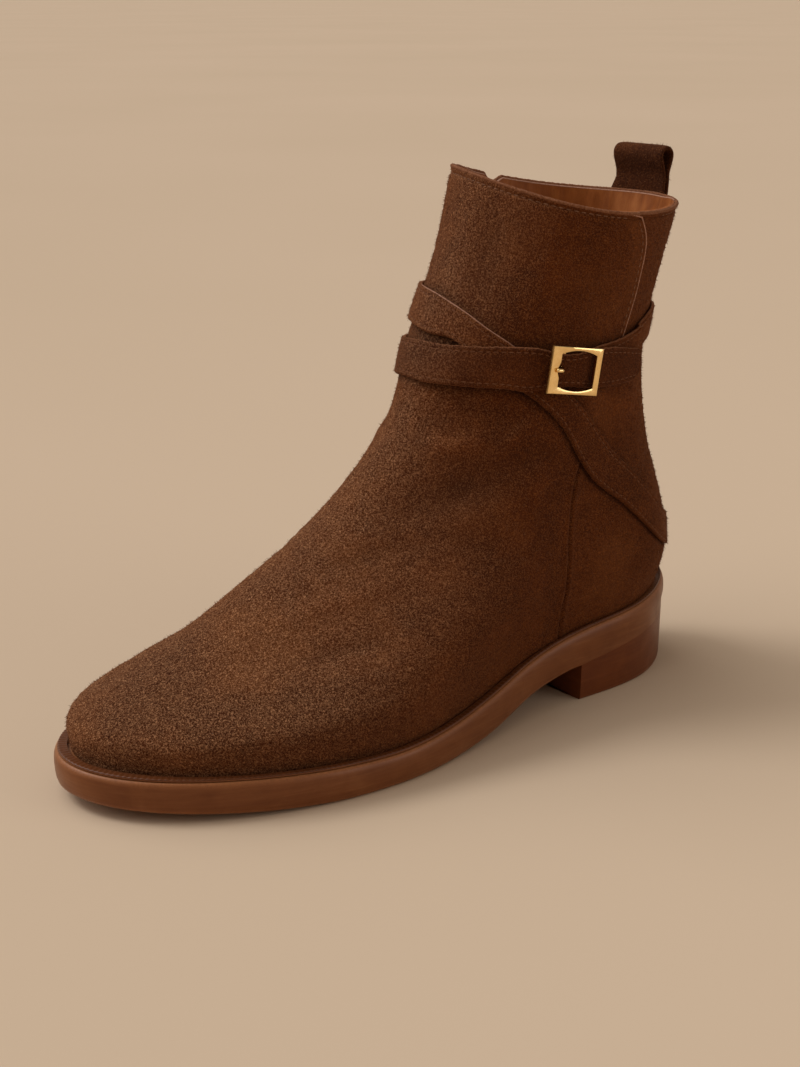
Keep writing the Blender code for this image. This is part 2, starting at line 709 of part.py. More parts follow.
def build_buckle(material, collection, cutters):
    """Flat frame with two posts that carry a bar under the strap."""
    outer, inner = buckle_outlines(BUCKLE_SIDE_POINTS)
    loops = []
    for flat, height in ((outer, 0.0), (outer, BUCKLE_THICK), (inner, BUCKLE_THICK), (inner, 0.0)):
        loops.append(np.column_stack([flat + [HEEL_CENTRE, 0.0], np.full(len(flat), height)]))
    size = len(outer)
    faces = grid_faces(4, size, True)
    for j in range(size):
        k = (j + 1) % size
        faces.append((3 * size + j, 3 * size + k, k, j))
    frame = mesh_object("buckle_frame", np.concatenate(loops), faces, material, collection)
    drop = BUCKLE_LIFT - BAR_LIFT - 2.0 * BAR_RADIUS
    for sign in (-1.0, 1.0):
        side = sign * (BUCKLE_TALL - GAP - POST_WIDTH) / 2.0
        post = primitive_box("buckle_post", (2.0 * BAR_RADIUS, POST_WIDTH, drop + BUCKLE_THICK),
                             (BAR_SHIFT, side, -drop / 2.0), cutters)
        boolean(frame, post, "UNION")
    bar = primitive_box("buckle_bar", (2.0 * BAR_RADIUS, BUCKLE_TALL - 2.0 * GAP, 2.0 * BAR_RADIUS),
                        (BAR_SHIFT, 0.0, -drop - BAR_RADIUS), cutters)
    boolean(frame, bar, "UNION")
    seat = primitive_box("prong_seat", (BAR_THICK_END, PRONG_SEAT_WIDTH, 2.0 * PRONG_SEAT_DEPTH),
                         (BUCKLE_LONG / 2.0 - PRONG_SEAT_INSET, 0.0, BUCKLE_THICK), cutters)
    boolean(frame, seat, "DIFFERENCE")
    for item in (frame, *cutters.objects):
        item.matrix_world = buckle_matrix()
    return frame


def prong_route():
    """Middle line of the prong in the buckle's frame: along the strap, and out from the frame's back."""
    seat = BUCKLE_THICK - PRONG_SEAT_DEPTH + GAP + PRONG_RADIUS
    root = BAR_SHIFT + BAR_RADIUS + GAP + PRONG_RADIUS
    foot = BAR_LIFT + BAR_RADIUS - BUCKLE_LIFT
    tip = BUCKLE_LONG / 2.0 - BAR_THICK_END / 2.0
    return [
        (root, foot),
        (root + PRONG_LEAN, foot / 2.0),
        (root + PRONG_BEND, PRONG_BEND_RISE),
        (root + PRONG_RUN, seat),
        (tip, seat),
    ]


def build_prong(material, collection, strap, cutters):
    """Prong from beside the hidden bar, up through the strap, to its seat on the thick bar."""
    route = prong_route()
    curve = bpy.data.curves.new("prong_line", "CURVE")
    curve.dimensions = "3D"
    curve.bevel_depth = PRONG_RADIUS * MM
    curve.bevel_resolution = PRONG_BEVEL_STEPS
    curve.use_fill_caps = True
    line = curve.splines.new("POLY")
    line.points.add(len(route) - 1)
    for point, (x, z) in zip(line.points, route):
        point.co = (x * MM, 0.0, z * MM, 1.0)
    guide = bpy.data.objects.new("prong_line", curve)
    collection.objects.link(guide)
    bpy.context.view_layer.update()
    mesh = bpy.data.meshes.new_from_object(guide.evaluated_get(bpy.context.evaluated_depsgraph_get()))
    bpy.data.objects.remove(guide)
    work = bmesh.new()
    work.from_mesh(mesh)
    bmesh.ops.remove_doubles(work, verts=work.verts, dist=1e-6)
    bmesh.ops.recalc_face_normals(work, faces=work.faces)
    work.to_mesh(mesh)
    work.free()
    mesh.materials.clear()
    mesh.materials.append(material)
    prong = bpy.data.objects.new("prong", mesh)
    collection.objects.link(prong)
    prong.matrix_world = buckle_matrix()
    bpy.ops.mesh.primitive_cylinder_add(vertices=HOLE_SIDES, radius=PRONG_HOLE_RADIUS * MM,
                                        depth=2.0 * BUCKLE_LIFT * MM)
    hole = bpy.context.active_object
    hole.name = "prong_hole"
    for owner in list(hole.users_collection):
        owner.objects.unlink(hole)
    cutters.objects.link(hole)
    hole.matrix_world = buckle_matrix() @ Matrix.Translation((route[1][0] * MM, 0.0, 0.0))
    boolean(strap, hole, "DIFFERENCE")
    return prong


def build():
    clear_scene()
    parts = make_collection("ankle_boot")
    cutters = make_collection("cutters")
    suede = make_material("suede")
    sole_leather = make_material("sole_leather")
    brass = make_material("brass")
    build_sole(sole_leather, parts)
    build_heel(sole_leather, parts)
    build_welt(make_material("welt_leather"), parts)
    build_insole(make_material("lining_leather"), parts)
    build_upper(suede, parts)
    build_strap("strap_wrapped", STRAP_OVER_FRONT, WRAPPED_STATIONS, suede, parts)
    end = build_strap("strap_holed", STRAP_TO_BUCKLE, HOLED_STATIONS, suede, parts)
    build_pull_loop(suede, parts)
    build_buckle(brass, parts, cutters)
    build_prong(brass, parts, end, cutters)


build()
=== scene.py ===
from collections import namedtuple

import bmesh
import bpy
import numpy as np
from mathutils import Matrix, Vector


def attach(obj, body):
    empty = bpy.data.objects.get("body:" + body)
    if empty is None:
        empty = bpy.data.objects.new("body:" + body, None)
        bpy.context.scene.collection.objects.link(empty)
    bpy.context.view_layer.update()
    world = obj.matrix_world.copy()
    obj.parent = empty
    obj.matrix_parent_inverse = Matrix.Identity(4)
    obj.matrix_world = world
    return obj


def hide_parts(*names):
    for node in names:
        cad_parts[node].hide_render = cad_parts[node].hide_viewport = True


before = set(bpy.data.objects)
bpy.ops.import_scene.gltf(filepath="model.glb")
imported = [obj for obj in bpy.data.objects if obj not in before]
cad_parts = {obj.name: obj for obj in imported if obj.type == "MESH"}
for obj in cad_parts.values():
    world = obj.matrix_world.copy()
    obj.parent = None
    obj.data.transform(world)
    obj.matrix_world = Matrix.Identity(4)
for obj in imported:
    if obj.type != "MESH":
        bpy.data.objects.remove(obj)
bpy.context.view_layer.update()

# Sizes in millimetres, as in the part; x is measured from the back edge of the sole
MM = 0.001
SOLE_LENGTH = 254.6
HEEL_CENTRE = 34.0
GAP = 0.3
WALL = 2.2
WELT_WIDTH = 4.2
HEEL_WELT_WIDTH = 2.9
TOE_WELT_WIDTH = 5.1
WELT_WIDEN_RUN = 51.0
TOE_WELT_START = 215.0
TOE_WELT_RUN = 35.0
WELT_HEIGHT = 0.9
WELT_SET_IN = 0.7
WELT_ROOT_GAP = 0.9
WELT_ROOT_LEVEL = 0.25
BREAST_X = 68.0
BREAST_HOLLOW = 3.0
HEEL_TAPER = 0.3
STRAP_THICK = 1.4
FLAP_STEP = 1.2
COLLAR_SAG = 3.4
COLLAR_TILT = 3.4
COLLAR_TWIST = 1.5
COLLAR_BLEND_LEVELS = 2.0
SEAM_STEP = 0.45
STEP_FADE_DEG = 55.0
STRAP_CLEAR_DEG = (-8.0, -4.0, 0.0, 4.0, 8.0, 12.0)
NOTCH_ANGLE = 266.0
NOTCH_HALF_DEG = 6.2
NOTCH_DEPTH_LEVELS = 0.11
LOOP_ANGLE = -7.2
LOOP_WIDTH = 23.6
LOOP_THICK = 1.7
LOOP_RISE = 16.3
LOOP_LEG = 14.3
LOOP_PINCH = 6.2
LOOP_RADIUS = 1.8
LOOP_STAND_OFF = 0.6
LOOP_TOP_BOW = 0.3
LOOP_WIDTH_POWER = 0.25
LOOP_THICK_POWER = 0.5
BUCKLE_ANGLE = 102.0
BUCKLE_LEVEL = 6.78
BUCKLE_HALF_SPAN_DEG = 12.0
BUCKLE_CLIMB_LEVELS = 0.05
BUCKLE_LIFT = 6.2
BUCKLE_LONG = 21.5
BUCKLE_TALL = 16.4
BUCKLE_THICK = 1.4
BAR_THICK_END = 4.0
BAR_SLIM_END = 2.5
WINDOW_SIDE_BAR = 1.3
WINDOW_CORNER_BAR = 2.7
WINDOW_NOTCH = 1.2
WINDOW_NOTCH_HALF = 2.6
BAR_LIFT = 3.1
BAR_SHIFT = 3.0
BAR_RADIUS = 0.5
POST_WIDTH = 1.1
PRONG_RADIUS = 0.75
PRONG_SEAT_DEPTH = 0.5
PRONG_LEAN = 0.2
PRONG_BEND = 0.7
PRONG_BEND_RISE = 0.2
PRONG_RUN = 1.9
PRONG_HOLE_RADIUS = 1.3

# Layers of the wall, in mm in from the outer face, and the rim's parts
SUEDE_THICK = 1.05
LINING_START = 1.35
CRINKLE_HEIGHT = 0.12
CRINKLE_WAVES = 37.0
CRINKLE_SLANT = 3.0
CRINKLE_LEVEL = 7.0
CRINKLE_FADE_LEVELS = 0.2
RIM_DROP = 1.2
RIM_DROP_ANGLE = 315.0
RIM_DROP_HALF_DEG = 85.0
RIM_DROP_FADE_DEG = 25.0
PALE_RIM_DEG = (214.0, 402.0)
PALE_RIM_RADIUS = 0.45
PALE_RIM_IN = 1.6
PALE_RIM_UP = 0.15
PALE_RIM_WIDEN = 1.4
ROLL_RADIUS = (0.8, 0.7)
ROLL_SIDES = 10
ROLL_IN = 0.55
ROLL_DOWN = 0.4
ROLL_ROUGHNESS = 0.09
RIM_STEP_LEVELS = 0.03
RIM_TUCK = (0.0, 0.05, 0.16, 0.3, 0.5)
RIM_RINGS_DOWN = (0.15, 0.13, 0.11, 0.1, 0.09, 0.08, 0.07, 0.055, 0.03, 0.018, 0.01, 0.004, 0.0)
PLAIN_RINGS_DOWN = 0.17

# Seams, stitches and pale cut edges
NEAR_SEAM = (-6.0, -4.2, -3.0, -2.2, -1.6, -1.1, -0.75, -0.5, -0.35, -0.2, -0.05, 0.1,
             0.25, 0.45, 0.75, 1.1, 1.6, 2.2, 3.0, 4.2, 6.0)
STEP_LEAD = 0.45
STEP_RUN = 0.6
SEAM_NUDGE_DEG = 0.01
SEAM_GROOVE = 0.75
SEAM_GROOVE_HALF = 0.55
SEAM_GROOVE_BEFORE = 0.1
SEAM_RIDGE = 0.42
SEAM_RIDGE_OFF = 1.8
SEAM_RIDGE_HALF = 0.9
SEWN_TOP_LEVEL = 5.6
SEWN_FADE_LEVELS = 0.5
FLAP_LEVEL = 7.0
FLAP_CORNER_ANGLE = 104.0
FLAP_CORNER_LEVEL = 8.94
FLAP_TOP_LEVEL = 8.99
FLAP_LINE_IN = 0.1
FLAP_LINE_RADIUS = 0.272
FLAP_LINE_RISE = 0.92
FLAP_STITCH_IN = 2.2
FLAP_STITCH_LEVELS = (7.2, 8.88)
RIM_STITCH_DOWN = 2.2
RIM_STITCH_RUNS = ((98.0, NOTCH_ANGLE - 9.0), (NOTCH_ANGLE + 9.0, 430.0))
RIM_GROOVE = 0.6
RIM_GROOVE_HALF = 0.55
STRAP_LINE_DEG = (126.0, 206.0)
STRAP_LINE_RADIUS = 0.208
STRAP_LINE_RISE = 0.62
THREAD_RADIUS = 0.2
STITCH_PITCH = 2.6
STITCH_LENGTH = 1.8
STITCH_SIDES = 6
EDGE_STITCH_IN = 1.75
STITCH_GROOVE = 0.22
STITCH_GROOVE_HALF = 0.4
STRAP_THREAD_RISE = 0.08
FLAP_THREAD_RISE = 0.04
RIM_THREAD_RISE = 0.1

# Straps: places in from an edge, the edge's rounding and the thinning low on the heel
STRAP_NEAR_EDGE = (0.05, 0.2, 0.45, 0.8, 1.15, 1.45, 1.75, 2.05, 2.4, 3.0)
STRAP_EDGE_SHARE = 0.49
STRAP_EDGE_DROP = 0.4
STRAP_EDGE_ROUND = 0.25
STRAP_UNDERCUT = 0.3
STRAP_FOOT = 0.12
RAGGED_LEVELS = 0.004
HEEL_THINNING = 0.6
HEEL_THIN_LEVEL = 2.8
HEEL_THIN_RUN = 1.4

# Painted shade of the nap in folds and along the straps, and clumps of the nap, with the height in mm that a
# level near the top is taken as
LEVEL_RISE = 25.0
FOLD_SHADE = 0.22
SHADE_LIMITS = (0.58, 1.15)
STRAP_SHADE = (0.45, 0.25)
SHADE_REACH = 2.0
FOLD_FADE_LEVELS = (0.4, 0.3)
CLUMP_HEIGHT = 0.11
CLUMP_SEAM_RUN = 8.0
CLUMP_TOP_LEVEL = 8.9
CLUMP_FADE_LEVELS = 0.2

# Nap: fibres to a square millimetre, sizes in mm, and the parts that make up a fibre's direction
NAP_DENSITY = 0.52
NAP_LENGTH = (0.6, 1.3)
NAP_HALF_WIDTH = (0.06, 0.16)
NAP_ROOT = 0.1
NAP_STAND = 0.8
NAP_SPREAD = 0.8
NAP_DROOP = (0.0, 0.0, -0.4)
NAP_NUDGE = 0.01
NAP_SEED = 7

# Edges as rows of shares and offsets: sole and heel by height and mm outwards, welt by width, height and rib
SOLE_EDGE = ((0.0, -1.3), (0.012, -0.6), (0.05, -0.1), (0.14, 0.2), (0.3, 0.45), (0.6, 0.6), (0.8, 0.5),
             (0.9, 0.2), (0.96, -0.15), (0.99, -0.5), (1.0, -1.0))
SEAT_PAST_BREAST = 6.0
SEAT_RUN = 8.0
HEEL_EDGE = ((0.0, -1.0), (0.03, -0.55), (0.1, -HEEL_TAPER), (0.5, -HEEL_TAPER / 2.0), (1.0, 0.0))
HEEL_TOP_GAP = 0.05
BREAST_CORNER = 0.6
BREAST_CORNER_POWER = 12
WELT_EDGE = ((0.0, 0.0, 0.0), (0.0, 0.45, 0.3), (0.06, 0.92, 0.7), (0.2, 1.0, 1.0),
             (0.75, 1.0, 1.0), (0.9, 0.97, 0.4), (1.0, 0.9, 0.0), (1.0, 0.0, 0.0))
RIB_PITCH = 1.9
RIB_HEIGHT = 0.14
BUCKLE_BEVEL = 0.45
BUCKLE_EDGE = ((0.0, 0.0), (0.0, BUCKLE_THICK - BUCKLE_BEVEL), (0.35, BUCKLE_THICK - 0.12),
               (1.1, BUCKLE_THICK))
BUCKLE_PAINTED_SHADE_BANDS = (0, 1, 5, 6)
HOLE_REACH = (-5.6, 2.4)
PRONG_END_LEAST = 0.02

# Stage and camera, in metres
FLOOR_HALF = 60.0
FLOOR_DARK = (0.60, 0.455, 0.325)
FLOOR_LIGHT = (0.62, 0.47, 0.34)
KEY_SUNS = ((1.0, 22.0), (1.39, 75.0))
KEY_COLOUR = (0.962, 0.986, 1.0)
KEY_DIRECTION = (0.425, -0.463, 0.778)
PANEL_POWER = 3.0
PANEL_SIZE = (0.9, 0.6)
PANEL_PLACE = (-0.65, 1.25, 0.45)
PANEL_AIM = (0.03, 0.03, 0.12)
SKY_COLOUR = (1.0, 0.88, 0.75, 1.0)
SKY_STRENGTH = 0.34
CAMERA_PLACE = (0.45882, 0.45939, 0.25021)
CAMERA_AIM = (0.089864, 0.0, 0.066352)
CAMERA_LENS = 59.53
SENSOR_HEIGHT = 36.0

# Painted light on the nap: weights of the surface's direction and of the place along the boot for the pale
# fibre tips, which stand in for light on faces that look up and towards the toe
PAINTED_LIGHT_SIDE = (-0.1, 0.0, 0.34)
PAINTED_LIGHT_ACROSS = -0.9
PAINTED_LIGHT_FORWARD = (4.9, 0.0, 0.0)
PAINTED_LIGHT_RANGE = (-0.56, 0.44)

# Mesh density
SKIN_COLUMNS = 340
SKIN_ROWS = 180
SKIN_RIM_ROWS = 16
INNER_EVERY = 8
LINING_COLUMNS = 180
LINING_ROWS = 60
STRAP_STATIONS = 420
SOLE_STATIONS = 150
HEEL_SIDE_POINTS = 60
BREAST_POINTS = 25
WELT_POINTS = 1600
WELT_TRIAL_POINTS = 6000
PALE_RIM_POINTS = 300
ROLL_POINTS = 480
FLAP_POINTS = 150
FLAP_CORNER_POINTS = 40
FLAP_STITCH_POINTS = 120
RIM_STITCH_POINTS = 300
LOOP_LEG_POINTS = 24
LOOP_FLARE_POINTS = 14
LOOP_BEND_POINTS = 25
LOOP_SIDES = 40
BUCKLE_SIDE_POINTS = 28
BAR_POINTS = 24
BAR_SIDES = 14
PRONG_POINTS = 60
PRONG_SIDES = 16
HOLE_SIDES = 32

SoleStation = namedtuple("SoleStation", "x top bottom")
SOLE_PROFILE = [SoleStation(*row) for row in (
    (0.0, 33.3, 21.5), (35.6, 29.5, 17.5), (68.7, 26.2, 13.4), (91.7, 21.8, 9.2), (114.6, 16.0, 2.9),
    (137.0, 12.3, 0.4), (157.9, 10.8, 0.0), (182.0, 11.2, 0.0), (203.7, 12.2, 1.0), (254.6, 14.8, 4.8),
)]

Section = namedtuple("Section", "name back_x back_z front_x front_z follow rear waist ball toe swing")
SECTIONS = [Section(*row) for row in (
    ("feather", 2.8, 33.3, 250.6, 15.0, 1.00, 27.2, 29.5, 42.5, 31.0, 1.0),
    ("wall", 0.2, 45.0, 250.0, 26.0, 0.90, 29.5, 31.2, 45.0, 32.5, 1.0),
    ("toe_box", 1.0, 51.5, 231.5, 36.0, 0.80, 29.3, 31.8, 42.5, 26.5, 1.0),
    ("toe_top", 2.8, 60.0, 209.0, 45.0, 0.65, 28.7, 32.0, 39.0, 21.5, 0.9),
    ("vamp", 8.5, 74.0, 177.0, 62.0, 0.40, 27.2, 31.5, 32.0, 18.5, 0.7),
    ("instep", 14.0, 90.0, 149.0, 80.0, 0.20, 24.2, 31.0, 29.5, 17.0, 0.5),
    ("throat", 17.2, 108.0, 124.5, 105.0, 0.05, 21.2, 30.0, 29.0, 17.0, 0.2),
    ("ankle", 16.1, 126.0, 114.0, 132.0, 0.00, 19.2, 29.5, 30.0, 19.0, 0.0),
    ("shaft", 13.0, 148.0, 99.5, 161.0, 0.00, 20.5, 32.0, 33.0, 21.0, 0.0),
    ("collar", 5.6, 176.2, 90.2, 188.0, 0.00, 22.0, 35.0, 36.0, 23.0, 0.0),
)]
TOP_LEVEL = len(SECTIONS) - 1
FIFTHS = 5
SWING = [0.0, 0.0, 3.0, 2.5, -2.7, -4.7]

SeamPoint = namedtuple("SeamPoint", "level angle step")
SEAM = [SeamPoint(*row) for row in (
    (0, 66.5, SEAM_STEP), (1, 67.5, SEAM_STEP), (3, 73.0, SEAM_STEP), (4, 77.5, SEAM_STEP),
    (5, 80.8, SEAM_STEP), (6, 78.0, FLAP_STEP), (7, 71.2, FLAP_STEP), (8, 73.5, FLAP_STEP),
    (8.6, 80.5, FLAP_STEP), (9, 92.0, FLAP_STEP),
)]

# Straps along their angle; low on the heel the holed strap mirrors the wrapped one's first rows
StrapRow = namedtuple("StrapRow", "angle low high lift")
STRAP_OVER_FRONT = [StrapRow(*row) for row in (
    (1.5, 0.75, 2.5, 0.5), (26.0, 1.35, 3.0, 0.5), (36.0, 2.15, 3.43, 0.5), (46.5, 3.16, 4.12, 0.5),
    (56.0, 3.84, 4.72, 0.5), (72.0, 4.68, 5.44, 0.5), (83.0, 5.26, 5.88, 0.5), (96.0, 5.84, 6.34, 0.5),
    (110.0, 6.28, 6.74, 0.5), (129.0, 6.66, 7.08, 0.5), (144.0, 6.86, 7.26, 0.5), (157.0, 7.08, 7.4, 0.5),
    (178.0, 7.14, 7.54, 0.5), (202.0, 7.2, 7.6, 0.7), (250.0, 7.2, 7.62, 0.5), (300.0, 7.2, 7.65, 0.5),
    (360.0, 7.15, 7.62, 0.5), (401.0, 7.05, 7.55, 0.5), (411.0, 6.96, 7.45, 0.5), (422.0, 6.8, 7.28, 0.5),
    (434.0, 6.68, 7.15, 0.5), (446.0, 6.62, 7.08, 0.5), (455.5, 6.62, 7.0, 0.5),
)]
SIDE_ROWS = 9
STRAP_TO_BUCKLE = [StrapRow(*row) for row in (
    (55.5, 6.54, 6.76, 2.25), (58.0, 6.46, 6.9, 2.25), (61.0, 6.43, 6.96, 2.35), (66.0, 6.42, 6.99, 2.4),
    (85.0, 6.44, 7.06, 2.45), (92.0, 6.47, 7.05, 2.75), (98.0, 6.51, 7.02, 3.5), (104.0, 6.54, 7.0, 3.6),
    (110.0, 6.53, 7.02, 3.5), (117.0, 6.5, 7.07, 2.6), (129.0, 6.55, 7.08, 2.25), (144.0, 6.57, 7.06, 2.25),
    (154.0, 6.58, 7.045, 2.2), (168.0, 6.58, 7.04, 0.8), (184.0, 6.6, 7.04, 0.5), (207.0, 6.56, 7.0, 0.7),
    (231.0, 6.5, 6.95, 0.5),
)]
STRAP_TO_BUCKLE += [row._replace(angle=360.0 - row.angle) for row in STRAP_OVER_FRONT[:SIDE_ROWS][::-1]]

# Soft folds of the upper: centre, direction in degrees from level, half length and half width in mm,
# depth in mm, where a negative depth is a ridge
Fold = namedtuple("Fold", "angle level tilt length width depth")
FOLDS = [Fold(*row) for row in (
    (125.0, 5.2, -5.0, 17.0, 11.0, 1.5), (141.0, 5.8, 0.0, 12.0, 4.0, -0.9),
    (113.0, 5.89, -48.0, 7.0, 3.2, -0.9), (98.0, 5.8, 47.0, 9.0, 3.2, -0.8),
    (103.0, 5.5, 0.0, 8.0, 4.5, 0.8), (97.0, 5.0, 70.0, 10.0, 4.0, -0.6),
    (140.0, 3.65, -25.0, 16.0, 6.0, -0.7), (142.0, 4.3, -15.0, 18.0, 5.5, 0.8),
    (128.0, 2.95, -20.0, 16.0, 5.0, 0.6), (112.0, 4.3, 30.0, 14.0, 5.0, 0.6),
    (160.0, 8.1, 80.0, 18.0, 6.0, 1.0), (128.0, 8.0, 75.0, 15.0, 6.0, -0.6),
    (101.0, 7.75, 60.0, 11.0, 5.0, 0.7), (60.0, 6.0, 10.0, 12.0, 5.0, -0.6),
    (40.0, 4.6, -30.0, 12.0, 5.0, 0.5), (234.0, 5.2, 5.0, 17.0, 11.0, 1.3),
    (219.0, 5.8, 0.0, 12.0, 4.0, -0.8), (220.0, 3.65, 25.0, 16.0, 6.0, -0.6),
    (218.0, 4.3, 15.0, 18.0, 5.5, 0.7),
)]


# Form of the boot

def smooth_step(share):
    share = np.clip(share, 0.0, 1.0)
    return share * share * (3.0 - 2.0 * share)


def bell(off, half):
    return np.exp(-(off / half) ** 2)


def unit(vectors):
    return vectors / np.linalg.norm(vectors, axis=-1, keepdims=True)


def wrapped(degrees):
    """Angle between -180 and 180."""
    return np.mod(degrees + 180.0, 360.0) - 180.0


def between(share, start, end, start_slope, end_slope):
    """Smooth curve from one value to the next with the slopes at its two ends."""
    blend = smooth_step(share)
    rise = share * (1.0 - share) ** 2 * start_slope
    fall = share * share * (1.0 - share) * end_slope
    return start * (1.0 - blend) + end * blend + rise - fall


def smooth_table(x, stations, values):
    """Smooth curve through a table with uneven stations."""
    stations = np.asarray(stations, float)
    values = np.asarray(values, float)
    slope = np.gradient(values, stations)
    x = np.clip(x, stations[0], stations[-1])
    i = np.clip(np.searchsorted(stations, x) - 1, 0, len(stations) - 2)
    span = stations[i + 1] - stations[i]
    return between((x - stations[i]) / span, values[i], values[i + 1], span * slope[i], span * slope[i + 1])


def row_value(rows, key, field, x):
    """Smooth value of one column of a table at places of its key column."""
    return smooth_table(x, [getattr(row, key) for row in rows], [getattr(row, field) for row in rows])


def sole_top(x):
    return row_value(SOLE_PROFILE, "x", "top", x)


def sole_bottom(x):
    return np.maximum(row_value(SOLE_PROFILE, "x", "bottom", x), 0.0)


def section_value(field, level):
    return smooth_table(level, np.arange(len(SECTIONS)), [getattr(section, field) for section in SECTIONS])


def half_width(share, level):
    """Half width at a share of the way from back to front along the ring's angle."""
    end = np.sin(np.pi / FIFTHS)
    middle = np.sin(2.0 * np.pi / FIFTHS)
    rear = section_value("rear", level) / end
    waist = section_value("waist", level) / middle
    ball = section_value("ball", level) / middle
    toe = section_value("toe", level) / end
    knots = np.stack([rear, rear, waist, ball, toe, toe], -1)
    slopes = np.gradient(knots, axis=-1)
    place = np.clip(share, 0.0, 1.0) * FIFTHS
    i = np.minimum(place.astype(int), FIFTHS - 1)

    def pick(table, k):
        return np.take_along_axis(table, k[..., None], -1)[..., 0]

    return between(place - i, pick(knots, i), pick(knots, i + 1), pick(slopes, i), pick(slopes, i + 1))


def collar_share(level):
    """How far a ring takes the collar's wave: none at the ankle, all at the top edge."""
    return np.clip((level - TOP_LEVEL + COLLAR_BLEND_LEVELS) / COLLAR_BLEND_LEVELS, 0.0, 1.0) ** 2


def collar_drop(turn):
    """Drop of the top edge: a sag at both sides, a tilt to the outer side and a twist towards the front."""
    sag = COLLAR_SAG * np.sin(turn) ** 2
    tilt = COLLAR_TILT * np.sin(turn)
    return sag + tilt - COLLAR_TWIST * np.sin(2.0 * turn)


def surface(angle, level, lift=0.0):
    """Point of the upper's outer face: angle in degrees round a ring, level from sole to collar."""
    angle, level, lift = np.broadcast_arrays(np.asarray(angle, float), np.asarray(level, float), lift)
    if np.any(lift):
        return surface(angle, level) + normal(angle, level) * np.asarray(lift)[..., None]
    turn = np.radians(angle)
    share = np.arccos(np.clip(np.cos(turn), -1.0, 1.0)) / np.pi
    along = (1.0 - np.cos(turn)) / 2.0
    back_x = section_value("back_x", level)
    front_x = section_value("front_x", level)
    back_z = section_value("back_z", level)
    front_z = section_value("front_z", level)
    x = back_x + (front_x - back_x) * along
    chord = sole_top(back_x) + (sole_top(front_x) - sole_top(back_x)) * along
    z = back_z + (front_z - back_z) * along + section_value("follow", level) * (sole_top(x) - chord)
    z = z - collar_share(level) * collar_drop(turn)
    shift = smooth_table(share * FIFTHS, np.arange(FIFTHS + 1), SWING) * section_value("swing", level)
    y = half_width(share, level) * np.sin(turn) + shift
    return np.stack([x, y, z], -1)


def normal(angle, level):
    """Outward unit normal of the upper's outer face."""
    step = 0.02
    across = surface(angle + 1.0, level) - surface(angle - 1.0, level)
    low = np.clip(level - step, 0.0, TOP_LEVEL)
    high = np.clip(level + step, 0.0, TOP_LEVEL)
    return unit(np.cross(surface(angle, high) - surface(angle, low), across))


def seam_angle(level):
    return row_value(SEAM, "level", "angle", level)


def seam_step(level):
    return row_value(SEAM, "level", "step", level)


def seam_rate(level):
    """Millimetres along the surface for one degree at the seam."""
    angle = seam_angle(level)
    return np.linalg.norm(surface(angle + 0.5, level) - surface(angle - 0.5, level), axis=-1)


def wall_raise(angle, level):
    """Height of the front panel over the rear quarter, fading away from the seam."""
    past = np.mod(angle - seam_angle(level) + SEAM_NUDGE_DEG, 360.0)
    return seam_step(level) * smooth_step(1.0 - past / STEP_FADE_DEG)


def strap_raise(angle, level):
    """Height that a strap needs to clear the front panel's edge, from a little way before it."""
    return np.max([wall_raise(angle + ahead, level) for ahead in STRAP_CLEAR_DEG], axis=0)


def collar_level(angle):
    """Top edge of the upper, with the small notch at the inner front."""
    away = np.abs(wrapped(angle - NOTCH_ANGLE))
    return TOP_LEVEL - NOTCH_DEPTH_LEVELS * np.clip(1.0 - away / NOTCH_HALF_DEG, 0.0, 1.0)


def back_rise():
    """Height of the topmost level at the back."""
    return surface(0.0, float(TOP_LEVEL))[2] - surface(0.0, TOP_LEVEL - 1.0)[2]


def edge_width(x):
    """Width of the welt's ledge: narrow round the heel, wider along the forefoot, widest at the toe."""
    forefoot = (WELT_WIDTH - HEEL_WELT_WIDTH) * smooth_step((x - BREAST_X) / WELT_WIDEN_RUN)
    toe = (TOE_WELT_WIDTH - WELT_WIDTH) * smooth_step((x - TOE_WELT_START) / TOE_WELT_RUN)
    return HEEL_WELT_WIDTH + forefoot + toe


def outline(offset, angle):
    """Outline of the sole's top at angles round it, moved out by an offset."""
    zero = np.zeros(len(angle))
    edge = surface(angle, zero)
    run = (surface(angle + 0.5, zero) - surface(angle - 0.5, zero))[:, :2]
    out = unit(np.stack([-run[:, 1], run[:, 0]], -1))
    return edge[:, :2] + out * (offset + edge_width(edge[:, 0]))[:, None]


# Meshes

def grid_faces(rows, columns, closed):
    """Quads of a grid of rows by columns, the columns running round when closed."""
    i, j = np.meshgrid(np.arange(rows - 1), np.arange(columns if closed else columns - 1), indexing="ij")
    k = (j + 1) % columns
    quads = np.stack([i * columns + j, i * columns + k, (i + 1) * columns + k, (i + 1) * columns + j], -1)
    return quads.reshape(-1, 4).tolist()


def ring_faces(rings, sides, joined=False):
    """Quads between rings of points; the end rings are joined to each other or capped."""
    faces = grid_faces(rings, sides, True)
    last = (rings - 1) * sides
    if joined:
        return faces + [[last + j, last + (j + 1) % sides, (j + 1) % sides, j] for j in range(sides)]
    return faces + [list(range(sides)), list(range(last, last + sides))]


def strip_cap(base, size, strips):
    """Faces across a ring, strip by strip between its two sides."""
    faces = []
    for i in range(strips):
        corners = dict.fromkeys([base + i, base + i + 1, base + size - i - 1, base + (size - i) % size])
        if len(corners) > 2:
            faces.append(list(corners))
    return faces


def new_mesh(name, points, faces):
    """Mesh with all its faces turned outwards."""
    mesh = bpy.data.meshes.new(name)
    mesh.from_pydata(np.asarray(points).tolist(), [], faces)
    work = bmesh.new()
    work.from_mesh(mesh)
    bmesh.ops.recalc_face_normals(work, faces=work.faces)
    work.to_mesh(mesh)
    work.free()
    return mesh


def new_item(name, data):
    item = bpy.data.objects.new(name, data)
    bpy.context.scene.collection.objects.link(item)
    return item


